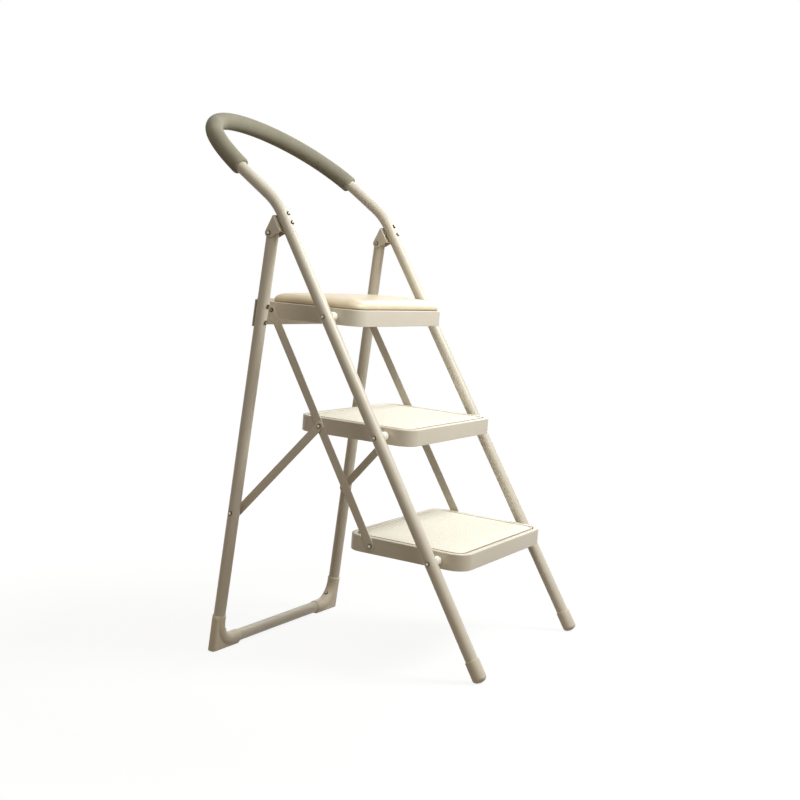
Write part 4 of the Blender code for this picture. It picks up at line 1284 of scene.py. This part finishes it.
    def build_link_rivets(self, level: str, along: float) -> None:
        """The rivets at a step's rear pivots.

        Args:
            level: bottom, middle or top.
            along: the step's place along the front legs.
        """
        z = self.stance.size
        extra = z.brace_side_gap + z.bar_thickness if level == "middle" else 0.0
        head = -z.pan_side_gap + z.link_side_gap + z.bar_thickness + extra + z.clearance
        tail = -z.pan_side_gap - z.pan_sheet - z.clearance
        for name, side in SIDES.items():
            local = outward(side, self.stance.front_x(along), z.link_reach, 0)
            place = self.stance.step_space(along) @ local
            self.fixings.rivet(f"{name}_{level}_link_rivet", f"{level}_step", place, head, tail)

    def build(self) -> None:
        """Builds and dresses all three steps."""
        for level, along in zip(LEVELS, self.stance.size.step_alongs):
            self.build_pan(level, along)
            self.build_link_rivets(level, along)
            if level == "top":
                self.build_cushion(along)
            else:
                self.build_mat(level, along)
        self.bench.dress("seat_board", HARDBOARD)


@dataclass
class Linkage:
    """The link bars and braces, and the braces' half rivets."""

    stance: Stance
    bench: Bench
    fixings: Fixings

    def bar_rings(self, low: float, high: float) -> Array:
        """A flat bar along Z between two pivots, whose ends are half circles.

        The outline is two half circles, carried across the thickness. Its half width grows and
        shrinks as a quarter circle over each edge, which rounds the edges as a press leaves them.

        Args:
            low: height of the lower pivot.
            high: height of the upper pivot.

        Returns:
            Rings from one face to the other, of shape (rings, points, 3).
        """
        z = self.stance.size
        half, edge = z.bar_thickness / 2, z.bar_edge
        a = np.radians(np.linspace(0, 90, 5))
        across = edge * np.cos(a) + half - edge
        drawn = edge * (1 - np.sin(a))
        x = np.concatenate([-across, across[::-1]])[:, None]
        r = z.bar_width / 2 - np.concatenate([drawn, drawn[::-1]])[:, None]
        turn_round = np.radians(np.linspace(0, 180, 24))[None]
        y = np.hstack([r * np.cos(turn_round), -r * np.cos(turn_round)])
        upper, lower = high + r * np.sin(turn_round), low - r * np.sin(turn_round)
        return np.stack([np.broadcast_to(x, y.shape), y, np.hstack([upper, lower])], axis=2)

    def build(self) -> None:
        """Builds both links and both braces, with their rounded edges."""
        stance, z = self.stance, self.stance.size
        middle = z.step_alongs[1]
        pivot = stance.link_pivot(middle)
        splay = math.degrees(math.atan(z.leg_taper * stance.sin_cos[1]))
        tilt, length = stance.brace_line()
        half = z.bar_thickness / 2
        link_x = stance.front_x(middle) - (z.pan_side_gap - z.link_side_gap - half)
        top_x = stance.front_x(middle) - z.pan_side_gap + z.link_side_gap + z.bar_thickness
        top_x += z.brace_side_gap + half
        foot_x = stance.rear_x(z.brace_down) - (z.tube_radius + z.brace_leg_gap + half)
        slant = math.atan2(foot_x - top_x, length)
        for name, side in SIDES.items():
            space = stance.space(*pivot, -z.front_lean)
            place = space @ shift(side * link_x, 0, 0) @ turn("Y", -side * splay)
            rings = placed(place, self.bar_rings(-z.step_pitch, z.step_pitch))
            node = f"{name}_link"
            self.bench.piece(f"{node}_bar", [rings], POWDER_COAT, node, [node], "cream_paint")
            space = stance.space(*pivot, tilt)
            place = space @ shift(side * top_x, 0, 0) @ turn("Y", -side * math.degrees(slant))
            rings = placed(place, self.bar_rings(-length / math.cos(slant), 0))
            node = f"{name}_brace"
            self.bench.piece(f"{node}_bar", [rings], POWDER_COAT, node, [node], "cream_paint")
            head = half + z.clearance + z.bar_width / 2 * math.tan(slant)
            place = space @ outward(-side, -foot_x, 0, -length)
            self.fixings.rivet(f"{node}_rivet_inner", node, place, head, -half, tail=False)


@dataclass(frozen=True)
class Softbox:
    """A square lamp, aimed at the middle of the ladder."""

    name: str
    place: tuple[float, float, float]
    width: float
    power: float
    tint: str = "#ffffff"


@dataclass
class Studio:
    """White ground, soft light from the front right and above, and the photograph's camera."""

    place: tuple[float, float, float] = (-2.31300, -1.36997, 0.65593)
    yaw: float = -60.566
    pitch: float = -2.979
    roll: float = -1.526
    focal_px: float = 1254.5
    frame_px: int = 800
    sensor_mm: float = 36.0
    floor_half: float = 30.0
    softboxes: tuple[Softbox, ...] = (
        Softbox("key_front_right", (0.35, -1.60, 2.00), 0.9, 41.0, "#fbffff"),
        Softbox("side_right", (1.70, 0.20, 1.50), 1.0, 11.0, "#fbffff"),
        Softbox("opening_left", (-0.90, -1.10, 1.90), 1.0, 8.0),
        Softbox("overhead", (0.10, 0.00, 2.40), 1.4, 2.0),
    )
    aim: tuple[float, float, float] = (0.0, -0.05, 0.60)
    fill_strength: float = 0.205
    fill_tint: str = "#ffe8c3"
    bounce_tint: str = "#8f8272"
    floor_glow: float = 0.90
    floor_albedo: float = 0.13
    glow_reach: tuple[float, float] = (0.8, 2.2)

    def build_camera(self) -> None:
        """The camera, from the fitted place and angles.

        Forward is (-sin yaw cos pitch, cos yaw cos pitch, sin pitch), and right and up are turned
        about it by the roll.
        """
        yaw, pitch, roll = (math.radians(v) for v in (self.yaw, self.pitch, self.roll))
        ahead = np.array([-math.sin(yaw) * math.cos(pitch), math.cos(yaw) * math.cos(pitch), math.sin(pitch)])
        right = np.cross(ahead, [0, 0, 1])
        right /= np.linalg.norm(right)
        up = np.cross(right, ahead)
        x = right * math.cos(roll) + up * math.sin(roll)
        y = up * math.cos(roll) - right * math.sin(roll)
        matrix = np.eye(4)
        matrix[:3, 0], matrix[:3, 1], matrix[:3, 2], matrix[:3, 3] = x, y, -ahead, self.place
        camera = bpy.data.objects.new("photo_camera", bpy.data.cameras.new("photo_camera"))
        camera.data.sensor_width = self.sensor_mm
        camera.data.lens = self.sensor_mm * self.focal_px / self.frame_px
        camera.matrix_world = Matrix(matrix.tolist())
        bpy.context.scene.collection.objects.link(camera)
        bpy.context.scene.camera = camera

    def build_lights(self) -> None:
        """The softboxes, each turned so that it faces the ladder's middle."""
        for box in self.softboxes:
            lamp = bpy.data.lights.new(box.name, "AREA")
            lamp.energy = box.power
            lamp.size = box.width
            lamp.color = Paintbox.linear(box.tint)[:3]
            lit = bpy.data.objects.new(box.name, lamp)
            towards = Vector(self.aim) - Vector(box.place)
            lit.matrix_world = Matrix.Translation(box.place) @ towards.to_track_quat("-Z", "Y").to_matrix().to_4x4()
            lit.visible_camera = False
            bpy.context.scene.collection.objects.link(lit)

    @staticmethod
    def seen_rays(tree: bpy.types.NodeTree) -> bpy.types.NodeSocket:
        """A value that is 1 for rays from the camera, off gloss or through glass, and else 0.

        Args:
            tree: the node tree that it is built in.

        Returns:
            The socket that gives the value.
        """
        path = Paintbox.add_node(tree, "ShaderNodeLightPath", {}, {})
        first = Paintbox.add_node(tree, "ShaderNodeMath", {"operation": "MAXIMUM"}, {})
        tree.links.new(path.outputs["Is Camera Ray"], first.inputs[0])
        tree.links.new(path.outputs["Is Glossy Ray"], first.inputs[1])
        second = Paintbox.add_node(tree, "ShaderNodeMath", {"operation": "MAXIMUM"}, {})
        tree.links.new(first.outputs[0], second.inputs[0])
        tree.links.new(path.outputs["Is Transmission Ray"], second.inputs[1])
        return second.outputs[0]

    def build_world(self) -> None:
        """A warm, dim fill for the object, and plain white where the background is seen."""
        world = bpy.data.worlds.new("studio")
        bpy.context.scene.world = world
        world.use_nodes = True
        tree = world.node_tree
        tree.nodes.clear()
        warm = Paintbox.linear(self.fill_tint)
        fill = Paintbox.add_node(tree, "ShaderNodeBackground", {"Color": warm, "Strength": self.fill_strength}, {})
        white = Paintbox.add_node(tree, "ShaderNodeBackground", {"Color": (1, 1, 1, 1), "Strength": 1.0}, {})
        mix = Paintbox.add_node(tree, "ShaderNodeMixShader", {}, {"Fac": self.seen_rays(tree)})
        tree.links.new(fill.outputs[0], mix.inputs[1])
        tree.links.new(white.outputs[0], mix.inputs[2])
        Paintbox.add_node(tree, "ShaderNodeOutputWorld", {}, {"Surface": mix.outputs[0]})

    def build_floor(self) -> None:
        """A wide pale floor that shows white, and keeps a faint shadow of the ladder.

        Its glow grows with the distance from the ladder until it is as white as the backdrop.
        """
        mesh = bpy.data.meshes.new("floor")
        half = self.floor_half
        corners = [(-half, -half, -MM), (half, -half, -MM), (half, half, -MM), (-half, half, -MM)]
        mesh.from_pydata(corners, [], [(0, 1, 2, 3)])
        floor = bpy.data.objects.new("floor", mesh)
        bpy.context.scene.collection.objects.link(floor)
        material = bpy.data.materials.new("pale_studio_floor")
        material.use_nodes = True
        tree = material.node_tree
        tree.nodes.clear()
        white = (1.0, 1.0, 1.0, 1.0)
        shaded = (self.floor_albedo, self.floor_albedo, self.floor_albedo, 1.0)
        bounce = Paintbox.add_node(tree, "ShaderNodeBsdfDiffuse", {"Color": Paintbox.linear(self.bounce_tint)}, {})
        keeps_shadow = Paintbox.add_node(tree, "ShaderNodeBsdfDiffuse", {"Color": shaded}, {})
        place = Paintbox.add_node(tree, "ShaderNodeTexCoord", {}, {}).outputs["Object"]
        away = Paintbox.add_node(tree, "ShaderNodeVectorMath", {"operation": "LENGTH"}, {})
        tree.links.new(place, away.inputs[0])
        near, far = self.glow_reach
        span = {"From Min": near, "From Max": far, "To Min": self.floor_glow, "To Max": 1.0}
        rising = Paintbox.add_node(tree, "ShaderNodeMapRange", span, {"Value": away.outputs["Value"]})
        glow = Paintbox.add_node(
            tree, "ShaderNodeEmission", {"Color": white}, {"Strength": rising.outputs["Result"]}
        )
        seen = Paintbox.add_node(tree, "ShaderNodeAddShader", {}, {})
        tree.links.new(keeps_shadow.outputs[0], seen.inputs[0])
        tree.links.new(glow.outputs[0], seen.inputs[1])
        mix = Paintbox.add_node(tree, "ShaderNodeMixShader", {}, {"Fac": self.seen_rays(tree)})
        tree.links.new(bounce.outputs[0], mix.inputs[1])
        tree.links.new(seen.outputs[0], mix.inputs[2])
        Paintbox.add_node(tree, "ShaderNodeOutputMaterial", {}, {"Surface": mix.outputs[0]})
        mesh.materials.append(material)

    def build(self) -> None:
        """Builds the camera, the lights, the world and the floor."""
        bpy.context.scene.view_settings.view_transform = "Standard"
        self.build_camera()
        self.build_lights()
        self.build_world()
        self.build_floor()


def corners(box: tuple) -> list[list[float]]:
    """A bounding box as plain lists of numbers."""
    return [list(map(float, corner)) for corner in box]


def main() -> None:
    """Builds every sub-assembly in order."""
    logging.basicConfig(level=logging.INFO, format="%(name)s: %(message)s")
    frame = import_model()
    stance = Stance()
    bench = Bench(frame, Paintbox())
    fixings = Fixings(stance, bench)
    FrontFrame(stance, bench, fixings).build()
    RearFrame(stance, bench, fixings).build()
    Steps(stance, bench, fixings).build()
    Linkage(stance, bench, fixings).build()
    Studio().build()


if __name__ == "__main__":
    main()
